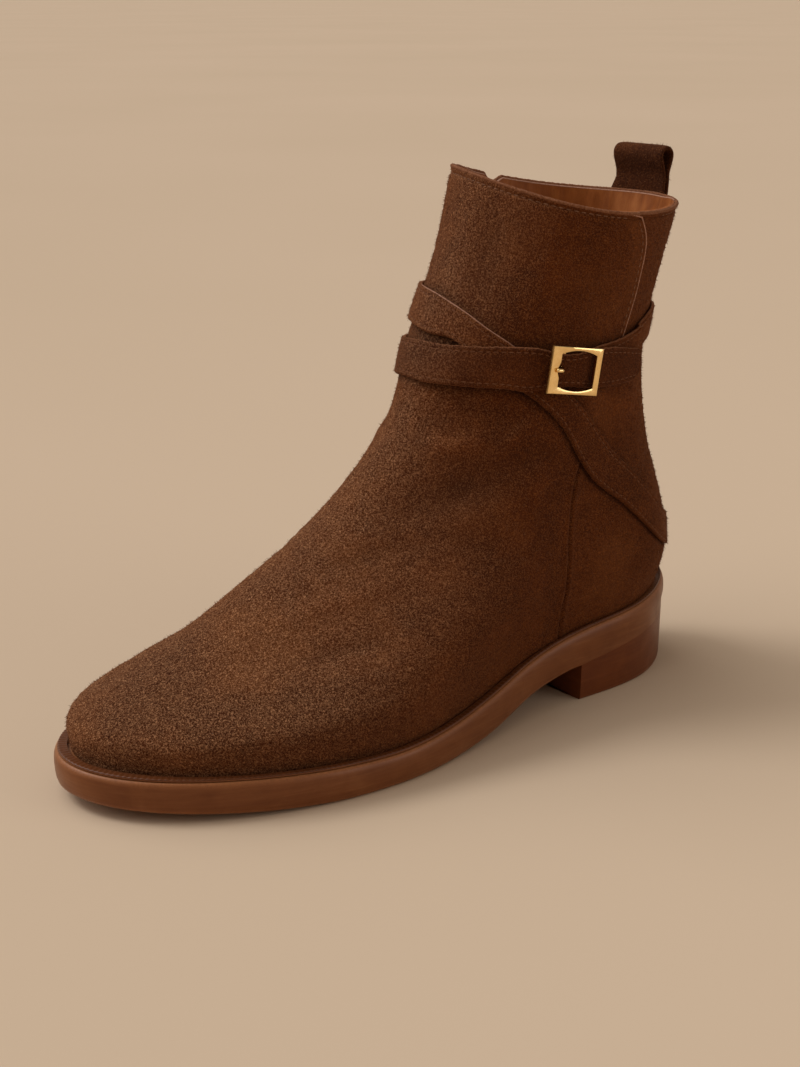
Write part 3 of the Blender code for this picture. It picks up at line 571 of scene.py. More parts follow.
def add_piece(name, points, faces, material, stands_for=None, slot=None, sharp=40.0, local=False):
    """A piece from points in millimetres, riding on the boot; local points are already in metres."""
    points = np.asarray(points)
    mesh = new_mesh(name, points if local else (points - [HEEL_CENTRE, 0.0, 0.0]) * MM, faces)
    mesh.shade_smooth()
    mesh.set_sharp_from_angle(angle=np.radians(sharp))
    mesh.materials.append(material)
    piece = new_item(name, mesh)
    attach(piece, "root")
    if stands_for:
        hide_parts(stands_for)
    return piece


def second_material(piece, material, chosen):
    """Gives the chosen faces another material."""
    piece.data.materials.append(material)
    piece.data.polygons.foreach_set("material_index", np.asarray(chosen).astype(np.int32))
    return piece


def closed_shell(outer, inner):
    """Points and faces of a wall between two grids of rings, closed at the top and bottom edges."""
    columns = outer.shape[1]
    first = outer.shape[0] * columns
    faces = grid_faces(outer.shape[0], columns, True)
    faces += [[k + first for k in face] for face in grid_faces(inner.shape[0], columns, True)]
    for a, b in ((0, first), (first - columns, first + (inner.shape[0] - 1) * columns)):
        for j in range(columns):
            k = (j + 1) % columns
            faces.append([a + j, a + k, b + k, b + j])
    return np.concatenate([outer.reshape(-1, 3), inner.reshape(-1, 3)]), faces


def ring_tube(path, side, up, radius, sides=8, joined=False):
    """Points and faces of a thin round tube along a path with two cross directions."""
    turn = np.linspace(0.0, 2.0 * np.pi, sides, endpoint=False)
    radius = np.broadcast_to(radius, len(path))
    wheel = side[:, None] * np.cos(turn)[None, :, None] + up[:, None] * np.sin(turn)[None, :, None]
    points = path[:, None] + wheel * radius[:, None, None]
    return points.reshape(-1, 3), ring_faces(len(path), sides, joined)


def edge_tube(path, out, radius):
    """Tube along an edge, round its outward direction."""
    run = unit(np.gradient(path, axis=0))
    return ring_tube(path, np.cross(run, out), out, radius)


def tapered(count, power, least):
    """Shares along a line that fall off at its two ends."""
    return np.maximum(np.sin(np.linspace(0.0, np.pi, count)) ** power, least)


def lengths(path):
    """Distance along a path at each of its points."""
    return np.concatenate([[0.0], np.cumsum(np.linalg.norm(np.diff(path, axis=0), axis=1))])


def even_marks(path, pitch):
    """Places along a path at even steps: index shares for interpolation."""
    length = lengths(path)
    count = max(int(length[-1] / pitch), 2)
    marks = (np.arange(count) + 0.5) * length[-1] / count
    return np.interp(marks, length, np.arange(len(path)))


def at_marks(values, marks):
    return np.stack([np.interp(marks, np.arange(len(values)), values[:, k]) for k in range(3)], -1)


def stitch_shape():
    """Points and faces of a ball of unit radius with its poles along a stitch."""
    lat = np.linspace(-np.pi / 2.0, np.pi / 2.0, STITCH_SIDES)[1:-1]
    turn = np.linspace(0.0, 2.0 * np.pi, STITCH_SIDES, endpoint=False)
    body = [(np.sin(a), np.cos(a) * np.cos(b), np.cos(a) * np.sin(b)) for a in lat for b in turn]
    faces = [[1 + k for k in face] for face in grid_faces(len(lat), STITCH_SIDES, True)]
    top = len(body) + 1
    for j in range(STITCH_SIDES):
        k = (j + 1) % STITCH_SIDES
        faces.append([0, 1 + k, 1 + j])
        faces.append([top, top - STITCH_SIDES + j, top - STITCH_SIDES + k])
    return np.array([(-1.0, 0.0, 0.0)] + body + [(1.0, 0.0, 0.0)]), faces


def stitch_rows(rows):
    """Points and faces of many small stitches: rows of (path, outward directions)."""
    ball, faces = stitch_shape()
    all_points = []
    all_faces = []
    count = 0
    for path, outward in rows:
        marks = even_marks(path, STITCH_PITCH)
        place = at_marks(path, marks)
        run = unit(at_marks(path, marks + 0.5) - at_marks(path, marks - 0.5))
        side = unit(np.cross(at_marks(outward, marks), run))
        out = np.cross(run, side)
        stitch = (place[:, None]
                  + run[:, None] * ball[None, :, :1] * STITCH_LENGTH / 2.0
                  + side[:, None] * ball[None, :, 1:2] * THREAD_RADIUS
                  + out[:, None] * ball[None, :, 2:] * THREAD_RADIUS)
        for i in range(len(place)):
            all_faces += [[k + count + i * len(ball) for k in face] for face in faces]
        count += stitch.shape[0] * len(ball)
        all_points.append(stitch.reshape(-1, 3))
    return np.concatenate(all_points), all_faces


# Materials

class Look:
    """A Principled material with the nodes that feed it, in the object's own coordinates."""

    def __init__(self, name):
        self.material = bpy.data.materials.new(name)
        self.material.use_nodes = True
        self.tree = self.material.node_tree
        coordinates = self.tree.nodes.new("ShaderNodeTexCoord").outputs
        self.place = coordinates["Object"]
        self.direction = coordinates["Normal"]

    def feed(self, socket, value):
        """Links a socket to another, or sets it to a number or colour."""
        if isinstance(value, bpy.types.NodeSocket):
            self.tree.links.new(value, socket)
        else:
            socket.default_value = value

    def node(self, kind, inputs, **settings):
        node = self.tree.nodes.new(kind)
        for name, value in settings.items():
            setattr(node, name, value)
        for key, value in inputs.items():
            self.feed(node.inputs[key], value)
        return node

    def noise(self, place, scale, detail, rough=0.55, distortion=0.0):
        inputs = {"Vector": place, "Scale": scale, "Detail": detail, "Roughness": rough,
                  "Distortion": distortion}
        return self.node("ShaderNodeTexNoise", inputs).outputs["Fac"]

    def stretched(self, scale):
        return self.node("ShaderNodeMapping", {"Vector": self.place, "Scale": scale}).outputs["Vector"]

    def ramp(self, value, *stops):
        """Colours at stops of a value."""
        node = self.node("ShaderNodeValToRGB", {"Fac": value})
        elements = node.color_ramp.elements
        while len(elements) < len(stops):
            elements.new(0.5)
        for element, (position, colour) in zip(elements, stops):
            element.position = position
            element.color = (*colour, 1.0)
        return node.outputs["Color"]

    def mix(self, factor, a, b, mode="MIX"):
        inputs = {"Factor": factor, "A": a, "B": b}
        return self.node("ShaderNodeMix", inputs, data_type="RGBA", blend_type=mode).outputs["Result"]

    def spread(self, value, low, high, start, end):
        """Value in low..high mapped to start..end."""
        inputs = {"Value": value, "From Min": low, "From Max": high, "To Min": start, "To Max": end}
        return self.node("ShaderNodeMapRange", inputs).outputs["Result"]

    def bump(self, height, strength, distance, under=None):
        inputs = {"Height": height, "Strength": strength, "Distance": distance}
        if under is not None:
            inputs["Normal"] = under
        return self.node("ShaderNodeBump", inputs).outputs["Normal"]

    def calc(self, operation, *values):
        """Arithmetic on numbers and links."""
        return self.node("ShaderNodeMath", dict(enumerate(values)), operation=operation).outputs["Value"]

    def along(self, vector, direction):
        """Length of a vector along a direction."""
        node = self.node("ShaderNodeVectorMath", {0: vector, 1: direction}, operation="DOT_PRODUCT")
        return node.outputs["Value"]

    def facing(self, direction):
        """How far the surface looks along a direction of the boot's own frame."""
        return self.along(self.direction, direction)

    def finished(self, values):
        """The material, with values or links for the shader's sockets."""
        for name, value in values.items():
            self.feed(self.tree.nodes["Principled BSDF"].inputs[name], value)
        return self.material


def suede(name, dark, mid, light, pale, shaded=False):
    """Brushed nap: fine specks over soft patches. Painted light adds pale tips on faces that look up and
    towards the toe, a painted sheen lightens the outline, and a shaded suede takes painted shade from the
    mesh.
    """
    look = Look(name)
    patches = look.noise(look.place, 30.0, 3.0, 0.5, 0.4)
    brushed = look.noise(look.place, 260.0, 4.0, 0.6, 0.6)
    fibres = look.noise(look.place, 2100.0, 3.0, 0.65, 0.9)
    broad = look.ramp(patches, (0.4, dark), (0.53, mid), (0.66, light))
    soft = look.ramp(brushed, (0.3, dark), (0.5, mid), (0.72, light))
    speck = look.ramp(fibres, (0.44, dark), (0.52, mid), (0.61, light))
    colour = look.mix(0.62, look.mix(0.3, broad, soft), speck)
    # Painted sheen: lighter fibres where the surface turns away from the view, along the outline
    painted_outline_sheen = look.ramp(fibres, (0.36, mid), (0.64, light))
    weight = look.node("ShaderNodeLayerWeight", {"Blend": 0.3}).outputs["Facing"]
    colour = look.mix(look.spread(weight, 0.3, 0.9, 0.0, 0.7), colour, painted_outline_sheen)
    # Painted light: pale fibre tips added on faces that look up and towards the toe, fewer on faces that look
    # sideways
    tips = look.ramp(fibres, (0.46, (0.0, 0.0, 0.0)), (0.66, pale))
    across = look.calc("ABSOLUTE", look.facing((0.0, 1.0, 0.0)))
    total = look.calc("ADD", look.facing(PAINTED_LIGHT_SIDE), look.along(look.place, PAINTED_LIGHT_FORWARD))
    total = look.calc("MULTIPLY_ADD", across, PAINTED_LIGHT_ACROSS, total)
    colour = look.mix(look.spread(total, *PAINTED_LIGHT_RANGE, 0.0, 1.0), colour, tips, "ADD")
    # Painted shade and light from the upper's shade attribute: darker in folds and by the straps, lighter on
    # ridges
    if shaded:
        shade = look.node("ShaderNodeAttribute", {}, attribute_name="shade").outputs["Color"]
        colour = look.mix(1.0, colour, shade, "MULTIPLY")
    coarse = look.bump(brushed, 0.3, 0.0008)
    return look.finished({"Base Color": colour, "Roughness": 0.85, "Specular IOR Level": 0.12,
                          "Sheen Weight": 0.05, "Sheen Roughness": 0.4,
                          "Sheen Tint": (0.55, 0.26, 0.13, 1.0),
                          "Normal": look.bump(fibres, 1.0, 0.0008, coarse)})


def burnished(name, dark, mid, light):
    """Burnished leather edge: fine level streaks, worn patches, a painted highlight on faces that look up or
    down, and a satin gloss.
    """
    look = Look(name)
    streaks = look.noise(look.stretched((0.06, 0.06, 1.0)), 900.0, 5.0, 0.65)
    worn = look.noise(look.place, 60.0, 6.0, 0.6, 0.5)
    grain = look.noise(look.place, 1100.0, 4.0, 0.6)
    base = look.ramp(streaks, (0.3, dark), (0.55, mid), (0.8, light))
    patch = look.ramp(worn, (0.35, dark), (0.55, mid), (0.75, light))
    # Painted highlight: lighter, grainy colour on the faces that look up or down, at the rounded top and
    # bottom edges
    corner = look.spread(look.calc("ABSOLUTE", look.facing((0.0, 0.0, 1.0))), 0.2, 0.7, 0.0, 0.75)
    painted_edge_highlight = look.ramp(grain, (0.3, light), (0.7, tuple(1.5 * tone for tone in light)))
    return look.finished({"Base Color": look.mix(corner, look.mix(0.5, base, patch), painted_edge_highlight),
                          "Roughness": look.spread(worn, 0.3, 0.7, 0.46, 0.3), "Specular IOR Level": 0.18,
                          "Coat Weight": 0.06, "Coat Roughness": 0.3,
                          "Normal": look.bump(grain, 0.15, 0.0002, look.bump(streaks, 0.2, 0.0003))})


def lining_leather(name, dark, mid, light):
    """Smooth tan lining with faint upright wrinkles and pores."""
    look = Look(name)
    wrinkles = look.noise(look.stretched((1.0, 1.0, 0.12)), 260.0, 4.0, 0.6, 0.5)
    pores = look.noise(look.place, 1800.0, 3.0, 0.6)
    shade = look.noise(look.place, 45.0, 4.0)
    colour = look.mix(0.5, look.ramp(wrinkles, (0.3, dark), (0.5, mid), (0.7, light)),
                      look.ramp(shade, (0.35, dark), (0.55, mid), (0.75, light)))
    return look.finished({"Base Color": colour, "Roughness": look.spread(pores, 0.3, 0.7, 0.6, 0.45),
                          "Specular IOR Level": 0.15,
                          "Normal": look.bump(pores, 0.2, 0.0002, look.bump(wrinkles, 0.35, 0.0008))})


def fibrous(name, dark, light, rough):
    """Cut leather edge or thread: short uneven fibres."""
    look = Look(name)
    fibres = look.noise(look.place, 1600.0, 4.0, 0.7)
    return look.finished({"Base Color": look.ramp(fibres, (0.3, dark), (0.7, light)), "Roughness": rough,
                          "Specular IOR Level": 0.2, "Normal": look.bump(fibres, 0.4, 0.0002)})


def polished_gold(name, dark, light):
    """Polished plate with faint brushed lines and tiny handling marks."""
    look = Look(name)
    marks = look.noise(look.place, 700.0, 5.0, 0.7)
    lines = look.noise(look.stretched((1.0, 1.0, 14.0)), 220.0, 3.0)
    return look.finished({"Base Color": look.ramp(marks, (0.3, dark), (0.7, light)), "Metallic": 1.0,
                          "Roughness": look.spread(marks, 0.3, 0.75, 0.14, 0.28),
                          "Normal": look.bump(lines, 0.04, 0.0002)})


# Upper and lining

def fold_depth(angle, level):
    """Soft troughs and ridges pressed into the upper by wear."""
    total = np.zeros(np.broadcast(angle, level).shape)
    for fold in FOLDS:
        here = surface(fold.angle, fold.level)
        degree = np.linalg.norm(surface(fold.angle + 1.0, fold.level) - here)
        rise = np.linalg.norm(surface(fold.angle, fold.level + 0.1) - here) * 10.0
        across = wrapped(angle - fold.angle) * degree
        up = (level - fold.level) * rise
        tilt = np.radians(fold.tilt)
        along = across * np.cos(tilt) + up * np.sin(tilt)
        off = up * np.cos(tilt) - across * np.sin(tilt)
        total -= fold.depth * bell(along, fold.length) * bell(off, fold.width)
    fade_low, fade_top = FOLD_FADE_LEVELS
    return total * smooth_step(level / fade_low) * smooth_step((TOP_LEVEL - level) / fade_top)


def skin_lift(angle, level):
    """Height of the outer face over the plain form: panel step, seam groove and folds."""
    past = wrapped(angle - seam_angle(level))
    away = past * seam_rate(level)
    fade = smooth_step(1.0 - np.maximum(past, 0.0) / STEP_FADE_DEG)
    step = seam_step(level) * smooth_step((away + STEP_LEAD) / STEP_RUN) * fade * (past > -90.0)
    sewn = smooth_step((SEWN_TOP_LEVEL - level) / SEWN_FADE_LEVELS)
    groove = SEAM_RIDGE * bell(np.abs(away) - SEAM_RIDGE_OFF, SEAM_RIDGE_HALF)
    groove = groove - SEAM_GROOVE * bell(away + SEAM_GROOVE_BEFORE, SEAM_GROOVE_HALF)
    down = (TOP_LEVEL - level) * LEVEL_RISE
    rim = -RIM_GROOVE * bell(down - RIM_STITCH_DOWN, RIM_GROOVE_HALF)
    return step + sewn * groove + rim + fold_depth(angle, level)


def skin_shade(angle, level):
    """Painted shade and light on the nap: darker in the folds and along the straps' edges, lighter on ridges.
    """
    shade = np.clip(1.0 + FOLD_SHADE * fold_depth(angle, level), *SHADE_LIMITS)
    for rows in (STRAP_OVER_FRONT, STRAP_TO_BUCKLE):
        for turn in (angle, angle + 360.0):
            on_strap = (turn > rows[0].angle) & (turn < rows[-1].angle)
            low = row_value(rows, "angle", "low", turn)
            high = row_value(rows, "angle", "high", turn)
            for off, depth in zip((low - level, level - high), STRAP_SHADE):
                shade = shade * (1.0 - depth * bell(off * LEVEL_RISE, SHADE_REACH) * on_strap)
    return shade


def skin_columns(level):
    """Angles round each ring, close together at the seam."""
    close = np.array(NEAR_SEAM)[None, :] / seam_rate(level)[:, None]
    rest = np.linspace(0.0, 1.0, SKIN_COLUMNS - len(NEAR_SEAM) + 2)[1:-1]
    far = close[:, -1:] + (360.0 + close[:, :1] - close[:, -1:]) * rest[None, :]
    return seam_angle(level)[:, None] + np.concatenate([close, far], axis=1)


def ring_levels(rows):
    """Ring levels from the sole to the collar, with a few close rings for the rounded rim."""
    rim = TOP_LEVEL - np.array(RIM_RINGS_DOWN)
    return np.concatenate([np.linspace(0.0, TOP_LEVEL - PLAIN_RINGS_DOWN, rows - len(rim)), rim])


def feet_on_sole(grid):
    """Lets the lowest ring follow the sole's top face."""
    grid[0][:, 2] = sole_top(grid[0][:, 0]) + GAP
    return grid


def skin_grid():
    """Rings and columns of the suede's outer face, and its painted shade."""
    levels = ring_levels(SKIN_ROWS)
    angles = skin_columns(levels)
    place = levels[:, None] * collar_level(angles) / TOP_LEVEL
    tuck = np.zeros(len(levels))
    tuck[-len(RIM_TUCK):] = RIM_TUCK
    clumps = np.random.default_rng(NAP_SEED).normal(0.0, CLUMP_HEIGHT, angles.shape)
    away = wrapped(angles - seam_angle(place)) * seam_rate(place)
    clumps *= smooth_step(np.abs(away) / CLUMP_SEAM_RUN)
    clumps *= smooth_step((CLUMP_TOP_LEVEL - place) / CLUMP_FADE_LEVELS)
    points = surface(angles, place, skin_lift(angles, place) + clumps - tuck[:, None])
    return levels, points, skin_shade(np.mod(angles, 360.0), place)


def build_upper(material):
    """Suede wall with its folds, its painted shade kept as an attribute of its points."""
    levels, outer, shade = skin_grid()
    inner_levels = np.concatenate([levels[:-SKIN_RIM_ROWS:INNER_EVERY], levels[-1:]])
    angles = skin_columns(inner_levels)
    place = inner_levels[:, None] * collar_level(angles) / TOP_LEVEL
    inner = surface(angles, place, fold_depth(angles, place) - SUEDE_THICK)
    points, faces = closed_shell(feet_on_sole(outer), feet_on_sole(inner))
    upper = add_piece("upper_suede", points, faces, material, "upper", "suede", sharp=60.0)
    # Painted shade of the outer face's points; the inner face keeps 1
    tone = np.ones(len(points))
    tone[:shade.size] = shade.ravel()
    upper.data.attributes.new("shade", "FLOAT", "POINT").data.foreach_set("value", tone)


def rim_level(angle):
    """Top of the lining: at the suede's rim on the near side, lower on the inner side."""
    away = np.abs(wrapped(angle - RIM_DROP_ANGLE))
    drop = RIM_DROP * smooth_step((RIM_DROP_HALF_DEG - away) / RIM_DROP_FADE_DEG)
    return collar_level(angle) - drop / back_rise()


def build_lining(material):
    """Lining leather inside the suede, slightly crinkled in the shaft."""
    levels = ring_levels(LINING_ROWS)
    angles = np.linspace(0.0, 360.0, LINING_COLUMNS, endpoint=False)[None, :] + 0.0 * levels[:, None]
    place = levels[:, None] * rim_level(angles) / TOP_LEVEL
    crinkle = CRINKLE_HEIGHT * np.sin(np.radians(angles * CRINKLE_WAVES) + CRINKLE_SLANT * place)
    crinkle *= smooth_step(place - CRINKLE_LEVEL) * smooth_step((TOP_LEVEL - place) / CRINKLE_FADE_LEVELS)
    fold = fold_depth(angles, place)
    outer = surface(angles, place, fold - LINING_START)
    inner = surface(angles, place, fold - WALL + crinkle)
    points, faces = closed_shell(feet_on_sole(outer), feet_on_sole(inner))
    add_piece("collar_lining", points, faces, material, "upper", "lining_leather", sharp=60.0)


def rim_frame(angle, level):
    """Directions outwards and upwards at the rim."""
    up = unit(surface(angle, level) - surface(angle, level - RIM_STEP_LEVELS))
    return normal(angle, level), up


def build_collar_edge(material):
    """Pale cut edge between the suede and the lining, along the inner side and the back."""
    angle = np.linspace(*PALE_RIM_DEG, PALE_RIM_POINTS)
    level = rim_level(angle)
    out, up = rim_frame(angle, level)
    path = surface(angle, level, np.full(len(angle), -PALE_RIM_IN)) + up * PALE_RIM_UP
    radius = PALE_RIM_RADIUS * tapered(len(angle), 0.3, 0.2)
    points, faces = ring_tube(path, out * PALE_RIM_WIDEN, up, radius)
    add_piece("collar_edge", points, faces, material, slot="lining_leather")


def rim_roll():
    """Points and faces of the suede's rounded top edge."""
    angle = np.linspace(0.0, 360.0, ROLL_POINTS, endpoint=False)
    level = collar_level(angle)
    out, up = rim_frame(angle, level)
    path = surface(angle, level, wall_raise(angle, level) - ROLL_IN) - up * ROLL_DOWN
    rough = 1.0 + np.random.default_rng(NAP_SEED).normal(0.0, ROLL_ROUGHNESS, len(angle))
    return ring_tube(path, out * ROLL_RADIUS[0], up * ROLL_RADIUS[1], rough, ROLL_SIDES, joined=True)


def build_flap_edge(material):
    """Pale cut edge along the front panel, turning into the collar at its rounded corner."""
    level = np.linspace(FLAP_LEVEL, FLAP_CORNER_LEVEL, FLAP_POINTS)
    angle = seam_angle(level) + FLAP_LINE_IN / seam_rate(level)
    share = np.linspace(0.0, 1.0, FLAP_CORNER_POINTS)[1:]
    angle = np.concatenate([angle, angle[-1] + (FLAP_CORNER_ANGLE - angle[-1]) * share])
    rise = (FLAP_TOP_LEVEL - FLAP_CORNER_LEVEL) * np.sin(share * np.pi / 2.0)
    level = np.concatenate([level, FLAP_CORNER_LEVEL + rise])
    path = surface(angle, level, seam_step(level) * FLAP_LINE_RISE)
    points, faces = edge_tube(path, normal(angle, level), FLAP_LINE_RADIUS * tapered(len(level), 0.25, 0.2))
    add_piece("flap_edge", points, faces, material, slot="lining_leather")


# Straps and stitches

def strap_lines(rows):
    """Angles along a strap with its edges and stand-off."""
    angles = np.linspace(rows[0].angle, rows[-1].angle, STRAP_STATIONS)
    angles = np.unique(np.concatenate([angles, [row.angle for row in rows]]))
    return [angles] + [row_value(rows, "angle", field, angles) for field in ("low", "high", "lift")]


def strap_width(angles, low, high):
    return np.linalg.norm(surface(angles, high) - surface(angles, low), axis=1)


def strap_thickness(low):
    """Thickness of a strap, pressed thinner where it ends low on the heel."""
    return STRAP_THICK * (1.0 - HEEL_THINNING * smooth_step((HEEL_THIN_LEVEL - low) / HEEL_THIN_RUN))


def strap_grid(rows):
    """Cross-sections along a strap, with soft edges and a groove along each row of stitches."""
    angles, low, high, lift = strap_lines(rows)
    ragged = np.random.default_rng(NAP_SEED).normal(0.0, RAGGED_LEVELS, (2, len(angles)))
    low = low + ragged[0]
    high = high + ragged[1]
    wide = strap_width(angles, low, high)[:, None]
    near = np.array(STRAP_NEAR_EDGE)
    edge = 1.0 - STRAP_EDGE_DROP * bell(near - near[0], STRAP_EDGE_ROUND)
    rise = STRAP_THICK * edge - STITCH_GROOVE * bell(near - EDGE_STITCH_IN, STITCH_GROOVE_HALF)
    inset = near[None] * np.minimum(1.0, STRAP_EDGE_SHARE * wide / near[-1])
    none = 0.0 * wide
    across = np.concatenate([none + STRAP_UNDERCUT, none, inset, wide / 2.0, wide - inset[:, ::-1], wide,
                             wide - STRAP_UNDERCUT], axis=1)
    foot = [0.0, STRAP_FOOT * STRAP_THICK]
    height = np.concatenate([foot, rise, [STRAP_THICK], rise[::-1], foot[::-1]])
    level = low[:, None] + (high - low)[:, None] * across / wide
    place = angles[:, None] + 0.0 * level
    height = height[None] * (strap_thickness(low) / STRAP_THICK)[:, None]
    return surface(place, level, lift[:, None] + strap_raise(place, level) + height)


def build_strap(name, rows, material, edge_material, stands_for, edge_columns):
    """A strap of suede, the cut edges in the named columns lighter."""
    grid = strap_grid(rows)
    stations, size = grid.shape[:2]
    faces = ring_faces(stations, size)
    strap = add_piece(name, grid.reshape(-1, 3), faces, material, stands_for, "suede", sharp=60.0)
    cut = np.isin(np.tile(np.arange(size), stations - 1), np.mod(edge_columns, size))
    return second_material(strap, edge_material, np.concatenate([cut, [True, True]]))


def build_strap_edge(material):
    """Pale cut edge that shows along the front of the wrapped strap."""
    angles, _, high, lift = strap_lines(STRAP_OVER_FRONT)
    keep = (angles > STRAP_LINE_DEG[0]) & (angles < STRAP_LINE_DEG[1])
    angles, high, lift = angles[keep], high[keep], lift[keep]
    path = surface(angles, high, lift + strap_raise(angles, high) + STRAP_THICK * STRAP_LINE_RISE)
    points, faces = edge_tube(path, normal(angles, high), STRAP_LINE_RADIUS * tapered(len(angles), 0.3, 0.15))
    add_piece("strap_edge", points, faces, material, slot="suede")


def strap_stitch_paths(rows, trim_start, trim_end):
    """Rows of stitches along both edges of a strap."""
    lines = strap_lines(rows)
    keep = (lines[0] > lines[0][0] + trim_start) & (lines[0] < lines[0][-1] - trim_end)
    angles, low, high, lift = [line[keep] for line in lines]
    wide = strap_width(angles, low, high)
    paths = []
    for edge, toward in ((low, high), (high, low)):
        level = edge + (toward - edge) * EDGE_STITCH_IN / wide
        top = lift + strap_raise(angles, level) + strap_thickness(low) - STITCH_GROOVE + STRAP_THREAD_RISE
        paths.append((surface(angles, level, top), normal(angles, level)))
    return paths


def flap_stitch_paths():
    """Stitches along the flap's edge."""
    level = np.linspace(*FLAP_STITCH_LEVELS, FLAP_STITCH_POINTS)
    angle = seam_angle(level) + FLAP_STITCH_IN / seam_rate(level)
    return [(surface(angle, level, skin_lift(angle, level) + FLAP_THREAD_RISE), normal(angle, level))]


def rim_stitch_paths():
    """Stitches below the collar's edge, clear of the notch."""
    rows = []
    for first, last in RIM_STITCH_RUNS:
        turn = np.linspace(first, last, RIM_STITCH_POINTS)
        below = np.full(len(turn), TOP_LEVEL - RIM_STITCH_DOWN / LEVEL_RISE)
        rows.append((surface(turn, below, skin_lift(turn, below) + RIM_THREAD_RISE), normal(turn, below)))
    return rows


# Sole, heel and welt

def build_sole(material):
    """Sole edge as one smooth band with rounded corners; under the heel its lower corner stays square."""
    half = np.linspace(0.0, 180.0, SOLE_STATIONS)
    loop = np.concatenate([half, np.linspace(180.0, 360.0, SOLE_STATIONS)[1:-1]])
    square = outline(0.0, loop)
    rings = []
    for share, offset in SOLE_EDGE:
        flat = outline(offset, loop)
        seat = smooth_step((BREAST_X + SEAT_PAST_BREAST - flat[:, 0]) / SEAT_RUN) * (share < 0.5)
        flat = flat * (1.0 - seat)[:, None] + square * seat[:, None]
        height = (1.0 - share) * sole_bottom(flat[:, 0]) + share * sole_top(flat[:, 0])
        rings.append(np.column_stack([flat, height]))
    size = len(loop)
    faces = grid_faces(len(rings), size, True)
    for base in (0, (len(rings) - 1) * size):
        faces += strip_cap(base, size, SOLE_STATIONS - 1)
    add_piece("sole_edge", np.concatenate(rings), faces, material, "outsole", "sole_leather", sharp=50.0)


def heel_loop(offset):
    """Outline of the heel, moved out by an offset, with its hollow breast."""
    angle = np.linspace(0.0, 180.0, 4 * SOLE_STATIONS)
    sides = []
    for sign in (1.0, -1.0):
        flat = outline(offset, sign * angle)
        flat = flat[flat[:, 0] < BREAST_X - BREAST_CORNER]
        sides.append(flat[np.linspace(0, len(flat) - 1, HEEL_SIDE_POINTS).astype(int)])
    share = np.linspace(0.0, 1.0, BREAST_POINTS)[1:-1, None]
    breast = sides[0][-1] * (1.0 - share) + sides[1][-1] * share
    off = np.abs(2.0 * share[:, 0] - 1.0)
    breast[:, 0] += BREAST_CORNER * (1.0 - off ** BREAST_CORNER_POWER) - BREAST_HOLLOW * (1.0 - off ** 2)
    return np.concatenate([sides[0], breast, sides[1][:0:-1]])


def build_heel(material):
    """Heel block flush with the sole edge, its corners slightly rounded."""
    rings = []
    for share, offset in HEEL_EDGE:
        loop = heel_loop(offset)
        rings.append(np.column_stack([loop, share * (sole_bottom(loop[:, 0]) - HEEL_TOP_GAP)]))
    size = len(rings[0])
    faces = grid_faces(len(rings), size, True)
    for base in (0, (len(rings) - 1) * size):
        faces += strip_cap(base, size, size // 2)
    add_piece("heel_stack", np.concatenate(rings), faces, material, "heel_block", "sole_leather", sharp=50.0)


def welt_lines():
    """Outer rim and inner root of the welt, side by side round the boot."""
    angle = np.linspace(0.0, 360.0, WELT_TRIAL_POINTS, endpoint=False)
    near = surface(angle, np.full(len(angle), WELT_ROOT_LEVEL))[:, :2]
    base = surface(angle, np.zeros(len(angle)))[:, :2]
    centre = np.array([SOLE_LENGTH / 2.0, 0.0])
    rim = outline(-WELT_SET_IN, angle)
    wider = np.linalg.norm(near - centre, axis=1) > np.linalg.norm(base - centre, axis=1)
    root = np.where(wider[:, None], near, base) - unit(near - rim) * WELT_ROOT_GAP
    return rim, root


def build_welt(material, side_material):
    """Welt with wheeled ribs along its top, the foot of its outer side burnished like the sole."""
    rim, root = welt_lines()
    path = np.column_stack([rim, sole_top(rim[:, 0])])
    path = np.concatenate([path, path[:1]])
    length = lengths(path)
    share = np.arange(WELT_POINTS) / WELT_POINTS
    mark = np.interp(share * length[-1], length, np.arange(len(path)))
    pick = np.clip(np.round(mark).astype(int), 0, len(rim) - 1)
    rib = RIB_HEIGHT * (np.cos(2.0 * np.pi * round(length[-1] / RIB_PITCH) * share) - 1.0)
    loops = []
    for inwards, lift, ribbed in WELT_EDGE:
        flat = rim[pick] * (1.0 - inwards) + root[pick] * inwards
        height = sole_top(flat[:, 0]) + GAP + lift * WELT_HEIGHT + rib * ribbed
        loops.append(np.column_stack([flat, height]))
    faces = ring_faces(len(loops), WELT_POINTS, True)
    welt = add_piece("welt_ribbed", np.concatenate(loops), faces, material, "welt", "welt_leather",
                     sharp=70.0)
    second_material(welt, side_material, np.arange(len(faces)) < WELT_POINTS)


# Nap

